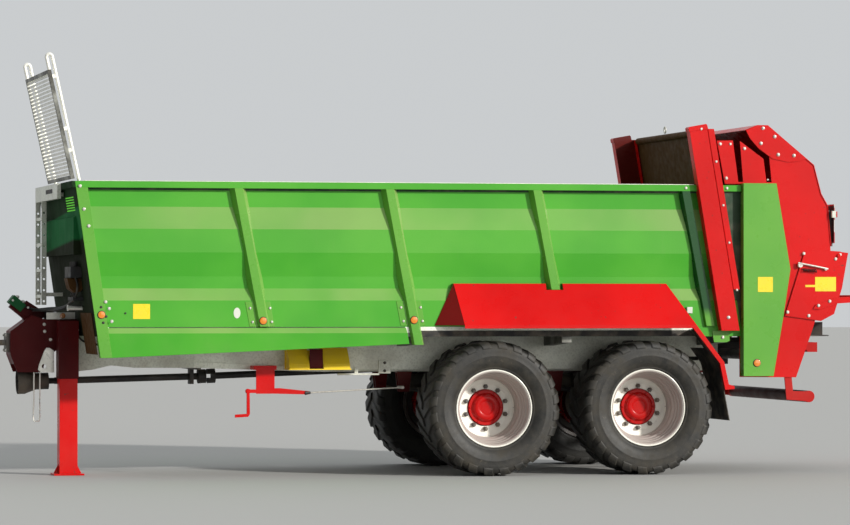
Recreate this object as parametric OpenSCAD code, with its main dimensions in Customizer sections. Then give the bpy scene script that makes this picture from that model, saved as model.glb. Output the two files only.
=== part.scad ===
// Tandem-axle manure spreader with a box body, a slurry gate and a two-disc rear unit.
// X runs to the rear, Y to the machine's right and Z up, with the ground at Z = 0.
// A "right side" piece is drawn at +Y and mirrored for the left side.

/* [Wheels] */
// Front axle, behind the machine's middle
axle_front_x = 380; // [340:1:420]
// Distance between the two axles
axle_spacing = 1260; // [1200:1:1320]
// Half of the track width
half_track = 975; // [965:1:985]
// Radius of the tyre over its lugs
tyre_r = 533; // [520:1:540]
// Width of the tyre
tyre_w = 550; // [500:1:560]
// Radius of the rim's bead seat
rim_r = 286; // [280:1:290]
// Radius of the axle's spindle
spindle_r = 45; // [40:1:50]
// Side of the square axle beam
axle_beam = 120; // [100:1:130]

/* [Box body] */
// Height of the side walls' lower edge
wall_base_z = 1178; // [1170:1:1186]
// Height of the top rail's underside
rail_z = 2262; // [2240:1:2280]
// Height of the top rail
rail_h = 50; // [40:1:60]
// Half of the box's outer width at the inner folds
wall_y = 1045; // [1041:1:1050]
// Depth of the side wall's folds
fold_depth = 30; // [20:1:34]
// Thickness of a wall sheet
wall_t = 5; // [3:1:6]
// Front wall at the height of the side walls' lower edge
front_base_x = -2775; // [-2785:1:-2765]
// Rear end of the side walls
wall_rear_x = 2452; // [2446:1:2470]
// Lean of the front wall from upright
front_lean = 8.3; // [7.5:0.1:9]
// Lean of the stakes from upright
stake_lean = 10.7; // [10:0.1:11]
// Depth of a stake over the inner folds
stake_depth = 60; // [50:1:62]
// Width of the corner posts
corner_w = 92; // [80:1:100]

/* [Gate] */
// Lean of the gate and its posts from upright
gate_lean = 9.46; // [9:0.02:9.8]
// Front edge of a gate post at the height of the side walls' lower edge
post_base_x = 2261; // [2255:1:2265]
// Height of the gate posts' top
post_top_z = 2800; // [2700:10:2900]
// Thickness of the gate's plate
gate_t = 8; // [6:1:10]
// Height of the gate's lower edge
gate_bottom_z = 1240; // [1236:1:1250]
// Gap between the gate and each of its guides
gate_gap = 1; // [0.5:0.1:2]

/* [Chassis] */
// Underside of the frame rails
frame_z = 815; // [805:1:835]
// Height of a frame rail
frame_h = 285; // [270:1:295]
// Half of the width over the frame rails' centre lines
frame_y = 450; // [440:1:460]
// Width of a frame rail
frame_w = 80; // [70:1:90]
// Front end of the frame rails
frame_front_x = -1900; // [-1950:10:-1850]
// Rear end of the frame rails
frame_rear_x = 2440; // [2400:10:2445]

/* [Hitch] */
// Centre of the towing eye's bore
eye_x = -3545; // [-3560:1:-3530]
// Height of the towing eye
eye_z = 1050; // [1030:1:1070]
// Radius of the towing eye's bore
eye_bore_r = 25; // [20:0.5:30]
// Outer radius of the towing eye
eye_r = 75; // [65:1:80]
// Side of the jack's outer tube
jack_w = 160; // [150:1:170]
// Middle of the jack's tube
jack_x = -2878; // [-2888:1:-2872]
// Distance of the jack from the machine's middle plane
jack_y = 250; // [235:1:260]

/* [Rear unit] */
// Radius of a beater over its tines
beater_r = 235; // [200:1:240]
// Radius of a beater's core tube
core_r = 75; // [60:1:90]
// Height of the lower beater
beater_low_z = 1600; // [1590:1:1620]
// Height of the upper beater
beater_high_z = 2140; // [2120:1:2150]
// Radius of a spreading disc
disc_r = 450; // [400:1:455]
// Distance of a disc from the machine's middle plane
disc_y = 460; // [456:1:470]
// Middle of the discs, behind the machine's middle
disc_x = 2930; // [2920:1:2940]
// Height of the discs' underside
disc_z = 1095; // [1090:1:1105]
// Radius of the rear unit's cross tube
rear_tube_r = 47; // [40:1:55]

/* [Hidden] */
$fn = 48;

axle_rear_x = axle_front_x + axle_spacing;
axle_z = tyre_r;
seat_gap = 0.3;
run_gap = 0.05;

// Machine colours
leaf_green = "#4fae35";
dark_green = "#1f6b2c";
bright_red = "#d0181a";
dark_red = "#8c1214";
galvanised = "#b4b6b2";
silver = "#dcdad4";
rubber_grey = "#3a3835";
black_paint = "#1c1c1c";
lamp_red = "#c81414";
chock_yellow = "#e8c21a";
steel_grey = "#77787a";

// A leaning line: its X at height z, from its X at the side walls' lower edge
function lean_x(base_x, z, lean) = base_x - (z - wall_base_z) * tan(lean);
function reversed(line) = [for (i = [len(line) - 1:-1:0]) line[i]];
function shifted(line, step) = [for (p = line) p + step];
// A closed band between a line of points and the same line moved by a step
function band(line, step) = concat(line, reversed(shifted(line, step)));

// A flat piece drawn in X and Z, from Y = y to y + t
module plate_xz(points, y, t) {
    translate([0, y + t, 0])
        rotate([90, 0, 0])
            linear_extrude(t) polygon(points);
}

// A straight bar whose section is drawn in Y and Z, from X = x0 to x1
module bar_yz(points, x0, x1) {
    translate([x0, 0, 0])
        rotate([90, 0, 90])
            linear_extrude(x1 - x0) polygon(points);
}

module block(low, high) {
    translate(low) cube(high - low);
}

// A round bar along Y, from y0 to y1
module rod_y(r, x, z, y0, y1) {
    translate([x, y1, z]) rotate([90, 0, 0]) cylinder(r = r, h = y1 - y0);
}

module both_sides() {
    children();
    mirror([0, 1, 0]) children();
}

// Chassis rails and their cross members

rail_top_z = frame_z + frame_h;
rail_in_y = frame_y - frame_w / 2;
rail_out_y = frame_y + frame_w / 2;
rail_wall = 12;
rail_chamfer = 18;
rail_front_rise = 35;
taper_end_x = -850;

module frame_rail() {
    outer = [[rail_in_y, frame_z], [rail_out_y - rail_chamfer, frame_z],
        [rail_out_y, frame_z + rail_chamfer], [rail_out_y, rail_top_z], [rail_in_y, rail_top_z]];
    cavity_z = frame_z + rail_front_rise + rail_wall;
    difference() {
        bar_yz(outer, frame_front_x, frame_rear_x);
        block([frame_front_x - 1, rail_in_y + rail_wall, cavity_z],
            [frame_rear_x + 1, rail_out_y - rail_wall, rail_top_z - rail_wall]);
        plate_xz([[frame_front_x - 1, frame_z - 1], [frame_front_x - 1, frame_z + rail_front_rise],
            [taper_end_x, frame_z], [taper_end_x, frame_z - 1]], 0, 600);
    }
}

module frame_rails() {
    color(galvanised) both_sides() frame_rail();
}

sill_in_y = wall_y - 25;
sill_out_y = wall_y + fold_depth;
member_h = 80;
member_w = 80;
member_x = [-1420, -210, 1010, 2300];
front_member_x = -2560;
member_tip_h = 50;

module cross_members() {
    low = rail_top_z - member_h;
    tip = rail_top_z - member_tip_h;
    arm = [[rail_out_y, low], [sill_out_y - 15, tip], [sill_out_y - 15, rail_top_z],
        [rail_out_y, rail_top_z]];
    color(galvanised) {
        for (x = member_x) {
            block([x - member_w / 2, -rail_in_y, low], [x + member_w / 2, rail_in_y, rail_top_z]);
            both_sides() bar_yz(arm, x - member_w / 2, x + member_w / 2);
        }
        block([front_member_x - member_w / 2, 1 - sill_out_y, tip],
            [front_member_x + member_w / 2, sill_out_y - 1, rail_top_z]);
    }
}

// Drawbar, hitch head and towing eye

head_rear_x = -2786;
head_rear_low_z = 985;
bar_front_x = head_rear_x + seat_gap;
front_wall_low_z = rail_top_z + 5;
bar_top_z = front_wall_low_z - seat_gap;
member_low_z = rail_top_z - member_tip_h;

// Two deep beams that converge from the frame rails to the head
module drawbar() {
    low_z = frame_z + rail_front_rise;
    plan = [[frame_front_x, rail_in_y], [frame_front_x, rail_out_y], [bar_front_x, 148],
        [bar_front_x, 60]];
    step_x = front_member_x - member_w / 2;
    side = [[bar_front_x, low_z - 30], [bar_front_x, bar_top_z], [step_x - 12, bar_top_z],
        [step_x - 2, member_low_z], [frame_front_x, member_low_z], [frame_front_x, low_z],
        [-2350, low_z], [step_x + 70, low_z + 18], [step_x - 70, low_z - 16]];
    color(galvanised) both_sides() intersection() {
        translate([0, 0, frame_z - 50]) linear_extrude(600) polygon(plan);
        plate_xz(side, 0, 600);
    }
}

head_half_w = 150;
head_wall = 16;
head_tip_x = -3319;
head_low_z = 815;
head_tip_z = 1142;
head_top_z = 1268;

// A deep box, open below, with a sloping top and a flat nose
module hitch_head() {
    side = [[head_tip_x, 955], [head_tip_x, head_tip_z], [-3146, head_top_z], [-3046, 1236],
        [head_rear_x, 1236], [head_rear_x, head_rear_low_z], [-2960, head_rear_low_z],
        [-3046, 905], [-3062, head_low_z],
        [-3265, head_low_z]];
    pocket = [[head_tip_x + 30, 800], [head_tip_x + 30, head_tip_z - 20], [-3146, head_top_z - 26],
        [-3050, 1210], [-3006, 1210], [-3006, 800]];
    arm = [[-3195, 1225], [-3214, 1250], [-3318, 1334], [-3302, 1354], [-3190, 1268],
        [-3160, 1240]];
    color(dark_red) {
        difference() {
            plate_xz(side, -head_half_w, 2 * head_half_w);
            plate_xz(pocket, head_wall - head_half_w, 2 * (head_half_w - head_wall));
        }
        plate_xz(arm, -30, 60);
    }
}

eye_h = 45;

// Flange plate, shank and ring with the upright bore
module towing_eye() {
    flange_x = head_tip_x - 25;
    color(steel_grey) difference() {
        union() {
            block([flange_x, -100, eye_z - 75], [head_tip_x - 0.01, 100, eye_z + 75]);
            translate([0, 0, eye_z - eye_h / 2])
                linear_extrude(eye_h) polygon([[eye_x, -38], [eye_x, 38], [flange_x, 62],
                    [flange_x, -62]]);
            translate([eye_x, 0, eye_z - eye_h / 2]) cylinder(r = eye_r, h = eye_h);
        }
        translate([eye_x, 0, eye_z - eye_h]) cylinder(r = eye_bore_r, h = 2 * eye_h);
    }
}

// Parking jack, on the left of the head

sleeve_wall = 8;
sleeve_low_z = 765;
sleeve_top_z = 1225;
sleeve_cap_t = 12;
leg_travel = 365;
leg_gap = 0.25;
leg_w = jack_w - 2 * sleeve_wall - 2 * leg_gap;
foot_t = 14;
foot_w = 240;

module jack_sleeve() {
    half = jack_w / 2;
    cap_z = sleeve_top_z - sleeve_cap_t;
    color(dark_red) {
        translate([jack_x, -jack_y, 0]) difference() {
            block([-half, -half, sleeve_low_z], [half, half, sleeve_top_z]);
            block([sleeve_wall - half, sleeve_wall - half, sleeve_low_z - 1],
                [half - sleeve_wall, half - sleeve_wall, cap_z]);
        }
        block([jack_x - 60, half - jack_y, 1010], [jack_x + 60, -head_half_w, sleeve_top_z - 5]);
    }
}

module jack_leg() {
    half = leg_w / 2;
    leg_top_z = sleeve_top_z - sleeve_cap_t - leg_travel;
    fin = [[-half - 40, foot_t], [-half, foot_t], [-half, 90]];
    color(bright_red) translate([jack_x, -jack_y, 0]) {
        difference() {
            block([-half, -half, foot_t], [half, half, leg_top_z]);
            block([8 - half, 8 - half, foot_t + 8], [half - 8, half - 8, leg_top_z + 1]);
        }
        block([-foot_w / 2, -foot_w / 2, 0], [foot_w / 2, foot_w / 2, foot_t]);
        for (side = [0, 1]) mirror([side, 0, 0]) plate_xz(fin, -5, 10);
    }
}

// Drive line: an input shaft in its guard, and a second shaft to the gearbox

line_start = [-3250, 0, 736];
joint_at = [-1720, 0, 776];
line_end = [2440, 0, 935];
front_rise = atan((joint_at[2] - line_start[2]) / (joint_at[0] - line_start[0]));
rear_rise = atan((line_end[2] - joint_at[2]) / (line_end[0] - joint_at[0]));
line_r = 27;
yoke_r = 58;
stub_r = 17.5;
joint_gap = 12;
bearing_x = -1845;
journal_r = 30;

// Puts +Z along the drive line, with Z = 0 at a point of it
module along_line(from, rise) {
    translate(from) rotate([0, 90 - rise, 0]) children();
}

front_len = norm(joint_at - line_start);
rear_len = norm(line_end - joint_at);

module front_shaft() {
    color(black_paint) along_line(line_start, front_rise) {
        translate([0, 0, -10]) cylinder(r = stub_r, h = 100);
        translate([0, 0, 80]) cylinder(r = 24, h = 250);
        translate([0, 0, 300]) cylinder(r = line_r, h = front_len - 330);
        translate([0, 0, front_len - 70]) difference() {
            cylinder(r = yoke_r, h = 70 - joint_gap / 2);
            translate([-yoke_r - 1, -16, 24]) cube([2 * yoke_r + 2, 32, 60]);
        }
    }
}

module rear_shaft() {
    color(black_paint) along_line(joint_at, rear_rise) {
        translate([0, 0, joint_gap / 2]) difference() {
            cylinder(r = yoke_r, h = 64);
            translate([-16, -yoke_r - 1, -1]) cube([32, 2 * yoke_r + 2, 40]);
        }
        translate([0, 0, 60]) cylinder(r = line_r, h = rear_len - 90);
        translate([0, 0, rear_len - 40]) cylinder(r = 22, h = 80);
    }
}

guard_len = 250;
guard_r = 98;
guard_wall = 4;

// A bell-shaped guard round the input stub, hung in the head, and the shaft's hanger bearing
module drive_guard() {
    bell = [[guard_r, 0], [guard_r, 60], [66, 150], [66, guard_len], [24 + run_gap, guard_len],
        [24 + run_gap, guard_len - 14], [66 - guard_wall, guard_len - 14],
        [66 - guard_wall, 150], [guard_r - guard_wall, 58], [guard_r - guard_wall, 0]];
    hanger_z = joint_at[2] + (bearing_x - joint_at[0]) * tan(front_rise);
    color(black_paint) {
        along_line(line_start, front_rise) rotate_extrude() polygon(bell);
        plate_xz([[-3140, 808], [-3080, 808], [-3080, 1219.8], [-3140, 1239.8]], -8, 16);
        difference() {
            translate([bearing_x, 0, 0]) {
                block([-15, -60, hanger_z - 60], [15, 60, hanger_z + 90]);
                both_sides() block([-15, 50, hanger_z + 60], [15, 405, hanger_z + 90]);
            }
            along_line(joint_at, front_rise)
                translate([0, 0, -200]) cylinder(r = line_r + run_gap, h = 400);
        }
        both_sides() block([bearing_x - 15, 395, hanger_z + 60], [bearing_x + 15, rail_in_y, 900]);
    }
}

// Load floor and its scraper chains

floor_top_z = 1173;
floor_t = 10;
sill_front_x = -2735;
sill_lip_z = 1132;
chain_front_x = -2630;
chain_rear_x = 2370;
chain_z = 1152;
chain_out_r = 42;
chain_in_r = 28;
chain_w = 20;
chain_ys = [95, 890];
slat_in_y = 45;
slat_out_y = 965;
slat_h = 22;
slat_w = 45;
slat_pitch = 350;
slat_count = 14;
sprocket_r = chain_in_r - seat_gap;

module floor() {
    color(galvanised) {
        block([chain_front_x + 55, -sill_in_y, floor_top_z - floor_t],
            [chain_rear_x - 55, sill_in_y, floor_top_z]);
        both_sides() bar_yz([[sill_in_y, rail_top_z], [wall_y, rail_top_z], [wall_y, sill_lip_z],
            [sill_out_y, sill_lip_z], [sill_out_y, wall_base_z], [sill_in_y, wall_base_z]],
            sill_front_x, wall_rear_x);
        block([chain_front_x + 55, -22, rail_top_z], [chain_rear_x - 55, 22, floor_top_z - 1]);
    }
}

module chain_loop(r) {
    hull_pts = concat(
        [for (a = [90:15:270]) [chain_front_x + r * cos(a), chain_z + r * sin(a)]],
        [for (a = [-90:15:90]) [chain_rear_x + r * cos(a), chain_z + r * sin(a)]]);
    polygon(hull_pts);
}

// Two loops of two chains each, with slats on the upper and the returning run
module floor_chains() {
    top = chain_z + chain_out_r;
    low = chain_z - chain_out_r;
    color(steel_grey) both_sides() {
        for (y = chain_ys)
            translate([0, y + chain_w / 2, 0]) rotate([90, 0, 0])
                linear_extrude(chain_w) difference() {
                    chain_loop(chain_out_r);
                    chain_loop(chain_in_r);
                }
        for (i = [0:slat_count - 1]) {
            x = chain_front_x + 110 + i * slat_pitch;
            block([x, slat_in_y, top - 12], [x + slat_w, slat_out_y, top + slat_h - 4]);
            block([x + 60, slat_in_y, low + 2], [x + 60 + slat_w, slat_out_y, low + slat_h]);
        }
    }
}

module chain_shafts() {
    color(steel_grey) for (x = [chain_front_x, chain_rear_x]) {
        rod_y(18, x, chain_z, -sill_in_y, sill_in_y);
        both_sides() for (y = chain_ys) rod_y(sprocket_r, x, chain_z, y - 12, y + 12);
    }
}

// Side walls with their folds, top rails and skirts

// columns: height, share of the fold depth by which the wall stands out
wall_folds = [[wall_base_z, 1], [1386, 1], [1480, 0], [1574, 0], [1761, 1], [1944, 0.85],
    [2116, 0], [rail_z, 0]];
front_wall_t = 6;
rail_out = 60;
skirt_out = 60;
skirt_mid_z = 1130;

function fold_line(inset) = [for (f = wall_folds) [wall_y + f[1] * fold_depth - inset, f[0]]];
function wall_out(z) = lookup(z, [for (f = wall_folds) [f[0], wall_y + f[1] * fold_depth]]);
function front_x(z) = lean_x(front_base_x, z, front_lean);
function post_x(z) = lean_x(post_base_x, z, gate_lean);

// Everything between two leaning or upright ends, seen from the side
module side_window(from_x_low, from_x_high, to_x, z_low, z_high) {
    plate_xz([[from_x_low, z_low], [from_x_high, z_high], [to_x, z_high], [to_x, z_low]],
        900, 300);
}

module side_wall() {
    x0 = front_wall_t + run_gap;
    rail_top = rail_z + rail_h;
    intersection() {
        union() {
            bar_yz(concat(fold_line(0), reversed(fold_line(wall_t))), -3000, wall_rear_x);
            bar_yz([[wall_y - wall_t, rail_z], [wall_y + rail_out, rail_z],
                [wall_y + rail_out, rail_top], [wall_y - wall_t, rail_top]], -3000, wall_rear_x);
        }
        side_window(front_x(1100) + x0, front_x(2400) + x0, wall_rear_x, 1100, 2400);
    }
}

skirt_front_z = 940;
skirt_rear_z = 1043;
skirt_rear_x = -282;

module skirt() {
    out = sill_out_y;
    section = [[out, 1172], [out + 8, 1172], [out + 30, skirt_mid_z], [out + 14, 930],
        [out + 10, 930], [out + 26, skirt_mid_z], [out + 6, 1168], [out, 1168]];
    x0 = front_wall_t + corner_w;
    outline = [[front_x(1175) + x0, 1175], [front_x(skirt_front_z) + x0, skirt_front_z],
        [skirt_rear_x, skirt_rear_z], [skirt_rear_x - 25, 1175]];
    intersection() {
        bar_yz(section, -3000, 0);
        plate_xz(outline, 900, 300);
    }
}

module side_walls() {
    color(leaf_green) both_sides() {
        side_wall();
        skirt();
    }
}

// columns: X at the side walls' lower edge, half width at the foot, lower end, height of the end
stake_table = [[-1444, 65, 1181], [-235, 65, 1035], [963, 60, 1472], [2193, 48, 1181]];
stake_face = 32;
post_low_z = 1144;
post_foot_z = 940;
corner_x = front_wall_t + run_gap;

// A hat-section stake, cut to the folds that it is welded to
module stake(x, half, z_low) {
    depth = stake_depth;
    intersection() {
        difference() {
            translate([x, wall_y - 12, wall_base_z]) rotate([0, -stake_lean, 0])
                translate([0, 0, -400]) linear_extrude(1700)
                    polygon([[-half - 6, 0], [-stake_face, depth + 12],
                        [stake_face, depth + 12], [half + 6, 0]]);
            bar_yz(concat([[900, wall_base_z]], fold_line(0), [[900, rail_z]]), -3000, 3000);
            block([-3000, 900, 800], [3000, sill_out_y, wall_base_z]);
        }
        block([-3000, 900, z_low], [3000, 1300, rail_z]);
    }
}

module stakes() {
    color(leaf_green) both_sides() {
        for (s = stake_table) stake(s[0], s[1], s[2]);
        intersection() {
            difference() {
                block([-3000, wall_y, post_foot_z], [-2500, sill_out_y + 36, rail_z]);
                bar_yz(concat([[900, wall_base_z]], fold_line(0), [[900, rail_z]]), -3000, -2400);
                block([-3001, 900, rail_top_z - 1], [-2400, sill_out_y, wall_base_z]);
            }
            plate_xz([[front_x(post_foot_z) + corner_x, post_foot_z],
                [front_x(rail_z) + corner_x, rail_z],
                [front_x(rail_z) + front_wall_t + corner_w, rail_z],
                [front_x(post_foot_z) + front_wall_t + corner_w, post_foot_z]], 900, 300);
        }
        difference() {
            block([wall_rear_x - 84, wall_y, wall_base_z], [wall_rear_x, sill_out_y, rail_z]);
            bar_yz(concat([[900, wall_base_z]], fold_line(0), [[900, rail_z]]), 2300, 2500);
        }
        plate_xz([[post_base_x - 50, post_low_z - seat_gap], [post_base_x + 90, post_low_z - seat_gap],
            [post_base_x + 98, 1062], [post_base_x + 70, 1050], [post_base_x - 34, 1050]],
            sill_out_y, 10);
    }
}

// Front wall with its view grid, cross box and top flange

window_low_z = 2085;
window_high_z = 2205;
window_bars = 6;
window_ys = [-930, -420];
flange_depth = 20;
cross_box_x = -2922;

module front_wall() {
    top = rail_z + rail_h;
    half = wall_y + rail_out;
    z0 = front_wall_low_z;
    pitch = (window_high_z - window_low_z) / window_bars;
    box_low = 1745;
    box_high = 2045;
    sheet = [[front_x(z0), z0], [front_x(top), top], [front_x(top) + front_wall_t, top],
        [front_x(z0) + front_wall_t, z0]];
    cross_box = [[front_x(box_low) + 0.5, box_low], [front_x(box_high) + 0.5, box_high],
        [cross_box_x, box_high - 14], [cross_box_x, box_low]];
    flange = [[front_x(rail_z) + 0.5, rail_z], [front_x(top) + 0.5, top],
        [front_x(top) - flange_depth, top], [front_x(rail_z) - flange_depth, rail_z]];
    color(dark_green) {
        difference() {
            plate_xz(sheet, -half, 2 * half);
            for (i = [0:window_bars - 1])
                block([-3000, window_ys[0], window_low_z + i * pitch],
                    [-2700, window_ys[1], window_low_z + (i + 0.55) * pitch]);
        }
        plate_xz(cross_box, -930, 1860);
        plate_xz(flange, -half, 2 * half);
    }
}

// Guard over the left half of the front wall: two hooked tubes, a frame and slats

guard_lean = 12.4;
guard_ys = [-1070, 300];
guard_tube_r = 14;
guard_tube_len = 983;
hook_r = 22;
guard_base_x = -2897;
guard_base_z = rail_z + rail_h + guard_tube_r * sin(guard_lean) + 0.1;
grid_low = 24;
grid_high = 887;
grid_front = -60;
grid_rear = -32;
grid_bars = 30;
clamp_zs = [230, 402, 815];

module hooked_tube() {
    cylinder(r = guard_tube_r, h = guard_tube_len);
    translate([-hook_r, 0, guard_tube_len]) rotate([90, 0, 0])
        rotate_extrude(angle = 180) translate([hook_r, 0]) circle(r = guard_tube_r);
    translate([-2 * hook_r, 0, grid_high]) cylinder(r = guard_tube_r,
        h = guard_tube_len - grid_high);
    for (z = clamp_zs) block([grid_rear - 2, -12, z], [-8, 12, z + 30]);
}

module front_guard() {
    pitch = (grid_high - grid_low) / grid_bars;
    foot_low_z = rail_z - 10;
    rear_face_x = front_x(foot_low_z) + front_wall_t;
    color(galvanised) {
        translate([guard_base_x, 0, guard_base_z]) rotate([0, -guard_lean, 0]) {
            for (y = guard_ys) translate([0, y, 0]) hooked_tube();
            for (z = [grid_low, grid_high - 30])
                block([grid_front, guard_ys[0] - 15, z], [grid_rear, guard_ys[1] + 15, z + 30]);
            for (y = guard_ys)
                block([grid_front, y - 15, grid_low], [grid_rear, y + 15, grid_high]);
            for (i = [1:grid_bars - 1])
                block([grid_front + 10, guard_ys[0], grid_low + i * pitch + 5],
                    [grid_front + 14, guard_ys[1], grid_low + i * pitch + 24]);
        }
        // foot of the inner tube on the wall's rear face
        block([rear_face_x + seat_gap, guard_ys[1] - 18, foot_low_z],
            [guard_base_x + 20, guard_ys[1] + 18, guard_base_z + 2]);
    }
}

// Upright ladder in front of the wall, on the right, under a shallow box along the wall's top
ladder_x = -2960;
ladder_low_z = 1350;
ladder_ys = [500, 880];
ladder_t = 20;
rung_count = 4;
top_box_ys = [-480, 900];
top_box_z = [2190, 2310];
top_box_depth = 30;
rail_hole_r = 9;
rail_hole_count = 9;

module ladder() {
    bracket_z = 1420;
    pitch = (top_box_z[0] - ladder_low_z) / rung_count;
    box_rear_x = front_x(rail_z + rail_h) - flange_depth - seat_gap;
    color(galvanised) {
        block([box_rear_x - top_box_depth, top_box_ys[0], top_box_z[0]],
            [box_rear_x, top_box_ys[1], top_box_z[1]]);
        for (y = ladder_ys) difference() {
            block([ladder_x - 30, y, ladder_low_z], [ladder_x + 10, y + ladder_t, top_box_z[0] + 1]);
            for (i = [0:rail_hole_count - 1])
                rod_y(rail_hole_r, ladder_x - 10, ladder_low_z + 30 + i * 90, y - 1,
                    y + ladder_t + 1);
        }
        for (y = ladder_ys)
            block([ladder_x, y + 4, bracket_z], [front_x(bracket_z + 30) - 0.1, y + 16,
                bracket_z + 30]);
        for (i = [0:rung_count - 1])
            block([ladder_x - 25, ladder_ys[0] + ladder_t - 1, ladder_low_z + 58 + i * pitch],
                [ladder_x + 5, ladder_ys[1] + 1, ladder_low_z + 83 + i * pitch]);
        for (y = [-400, 230, 860])
            block([box_rear_x - 1, y, top_box_z[0] + 20], [front_x(top_box_z[0] + 50) - seat_gap,
                y + 20, top_box_z[0] + 50]);
    }
}

// Fenders: a sloping roof with a bevelled nose and a rear arm

fender_top_z = 1520;
fender_low_z = 1188;
fender_out_y = 1250;
fender_in_y = 1080;
fender_t = 5;
fender_front_x = axle_front_x - 301;
fender_rear_x = axle_rear_x + 188;
fender_nose_x = axle_front_x - 453;
notch_x = [832, 970];

module fender() {
    lip_z = fender_low_z - 23;
    seat_y = wall_out(fender_top_z - 4) + 0.4;
    section = [[seat_y, fender_top_z], [fender_in_y + 2, fender_top_z],
        [fender_out_y, fender_low_z + 2], [fender_out_y, lip_z], [fender_out_y - fender_t, lip_z],
        [fender_out_y - fender_t, fender_low_z], [fender_in_y - 1, fender_top_z - fender_t],
        [seat_y, fender_top_z - fender_t]];
    outline = [[fender_front_x - 1, fender_top_z + 1], [fender_front_x + 53, fender_low_z],
        [fender_front_x + 53, lip_z - 1], [fender_rear_x + 207, lip_z - 1],
        [fender_rear_x + 207, fender_low_z], [fender_rear_x, fender_top_z + 1]];
    difference() {
        intersection() {
            bar_yz(section, fender_front_x - 10, fender_rear_x + 220);
            plate_xz(outline, 900, 400);
        }
        block([notch_x[0], 900, fender_top_z - 50], [notch_x[1], 1300, fender_top_z + 80]);
    }
    // bevelled nose between the wall and the outer corner
    nose_low_z = fender_low_z + 2;
    nose_out = [[fender_front_x, fender_in_y, fender_top_z],
        [fender_nose_x, fender_in_y, nose_low_z],
        [fender_front_x + 54, fender_out_y, nose_low_z]];
    nose_step = [4, -1, 0];
    polyhedron(points = concat(nose_out, [for (p = nose_out) p + nose_step]),
        faces = [[0, 1, 2], [5, 4, 3], [0, 3, 4, 1], [1, 4, 5, 2], [2, 5, 3, 0]]);
    // rear arm with its foot
    end_x = fender_rear_x + 207;
    arm = [[end_x - 50, fender_low_z], [end_x, fender_low_z], [end_x + 227, 893],
        [end_x + 265, 716], [end_x + 313, 700], [end_x + 313, 678], [end_x + 235, 672],
        [end_x + 191, 884]];
    plate_xz(arm, fender_out_y - arm_in_depth, arm_in_depth);
}

module fenders() {
    color(bright_red) both_sides() fender();
}

arm_in_depth = 38;
flap_low_z = 424;
flap_in_y = 700;
flap_gap = 67;

// Rubber sheets behind the rear wheels: full height outside the sills, lower between them
module mudflaps() {
    x = axle_rear_x + tyre_r + flap_gap;
    line = [[x - 210, 1160], [x - 12, 884], [x, 840], [x, flap_low_z]];
    low_line = [[x - 99, 1005], line[1], line[2], line[3]];
    out_y = fender_out_y - arm_in_depth - 1;
    color(black_paint) both_sides() {
        plate_xz(band(line, [-10, -2]), sill_out_y + 5, out_y - sill_out_y - 5);
        plate_xz(band(low_line, [-10, -2]), flap_in_y, sill_out_y + 6 - flap_in_y);
        block([x - 60, rail_out_y, 900], [x - 35, flap_in_y + 20, 930]);
    }
}

// Gate posts with the gate's guides, and the gate itself

post_in_y = sill_out_y;
post_out_y = 1165;
post_w = 150;
rib_in_x = 165;
rib_w = 50;
rib_low_z = 1475;
gate_x = 188;
guide_in_y = 1000;
guide_t = 12;
gate_half_w = 1032;

// A leaning strip between two heights, as an outline in X and Z, with its ends cut level
function lean_strip(offset, width, z0, z1) = [[post_x(z0) + offset, z0],
    [post_x(z0) + offset + width, z0], [post_x(z1) + offset + width, z1],
    [post_x(z1) + offset, z1]];

module gate_post() {
    rail_top = rail_z + rail_h;
    web_z = rail_top + 20;
    stop_z = gate_bottom_z - seat_gap - 12;
    wall_in_y = wall_y - wall_t;
    front_guide = gate_x - gate_gap - guide_t;
    rear_guide = gate_x + gate_t + gate_gap;
    cap_h = 40;
    cap_out = 6;
    cap_bevel = 10;
    front_z = post_top_z - post_w * tan(gate_lean);
    rear_x = post_x(post_top_z) + post_w + cap_out;
    cap = [[post_x(front_z - cap_h) - cap_out, front_z - cap_h],
        [rear_x + cap_h * tan(gate_lean), post_top_z - cap_h], [rear_x, post_top_z - cap_bevel],
        [rear_x - cap_bevel, post_top_z], [post_x(front_z) - cap_out + cap_bevel, front_z],
        [post_x(front_z) - cap_out, front_z - cap_bevel]];
    difference() {
        union() {
            plate_xz(lean_strip(0, post_w, post_low_z, post_top_z - 38), post_in_y,
                post_out_y - post_in_y);
            plate_xz(lean_strip(rib_in_x, rib_w, rib_low_z, post_top_z - 38), post_in_y, 62);
            plate_xz(lean_strip(post_w - 2, rib_in_x - post_w + 4, rib_low_z, post_top_z - 38),
                post_in_y, 30);
            plate_xz(cap, post_in_y, post_out_y - post_in_y + 4);
        }
        block([1900, 1000, rail_z - 1], [2600, wall_y + rail_out + 0.3, rail_top + 10]);
    }
    // webs over the rail join the post to the guides inside the box
    plate_xz(lean_strip(front_guide, guide_t, web_z, post_top_z - 40), guide_in_y,
        post_in_y - guide_in_y + 20);
    plate_xz(lean_strip(rear_guide, guide_t, web_z, post_top_z - 40), guide_in_y,
        post_in_y - guide_in_y + 20);
    plate_xz(lean_strip(front_guide, guide_t, stop_z, web_z + 1), guide_in_y,
        wall_in_y - guide_in_y);
    plate_xz(lean_strip(rear_guide, guide_t, stop_z, web_z + 1), guide_in_y,
        wall_in_y - guide_in_y);
    plate_xz(lean_strip(front_guide, rear_guide + guide_t - front_guide, stop_z, stop_z + 12),
        guide_in_y, wall_in_y - guide_in_y);
}

module gate_posts() {
    color(bright_red) both_sides() gate_post();
}

gate_top_z = 2745;
gate_roll_r = 28;

// One steel plate with a rolled upper edge, in line with the guides
module gate_panel() {
    roll_x = post_x(gate_top_z) + gate_x + gate_t / 2;
    roll_half = guide_in_y - 5;
    color(steel_grey) {
        plate_xz(lean_strip(gate_x, gate_t, gate_bottom_z, gate_top_z), -gate_half_w,
            2 * gate_half_w);
        rod_y(gate_roll_r, roll_x, gate_top_z, -roll_half, roll_half);
    }
}

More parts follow.
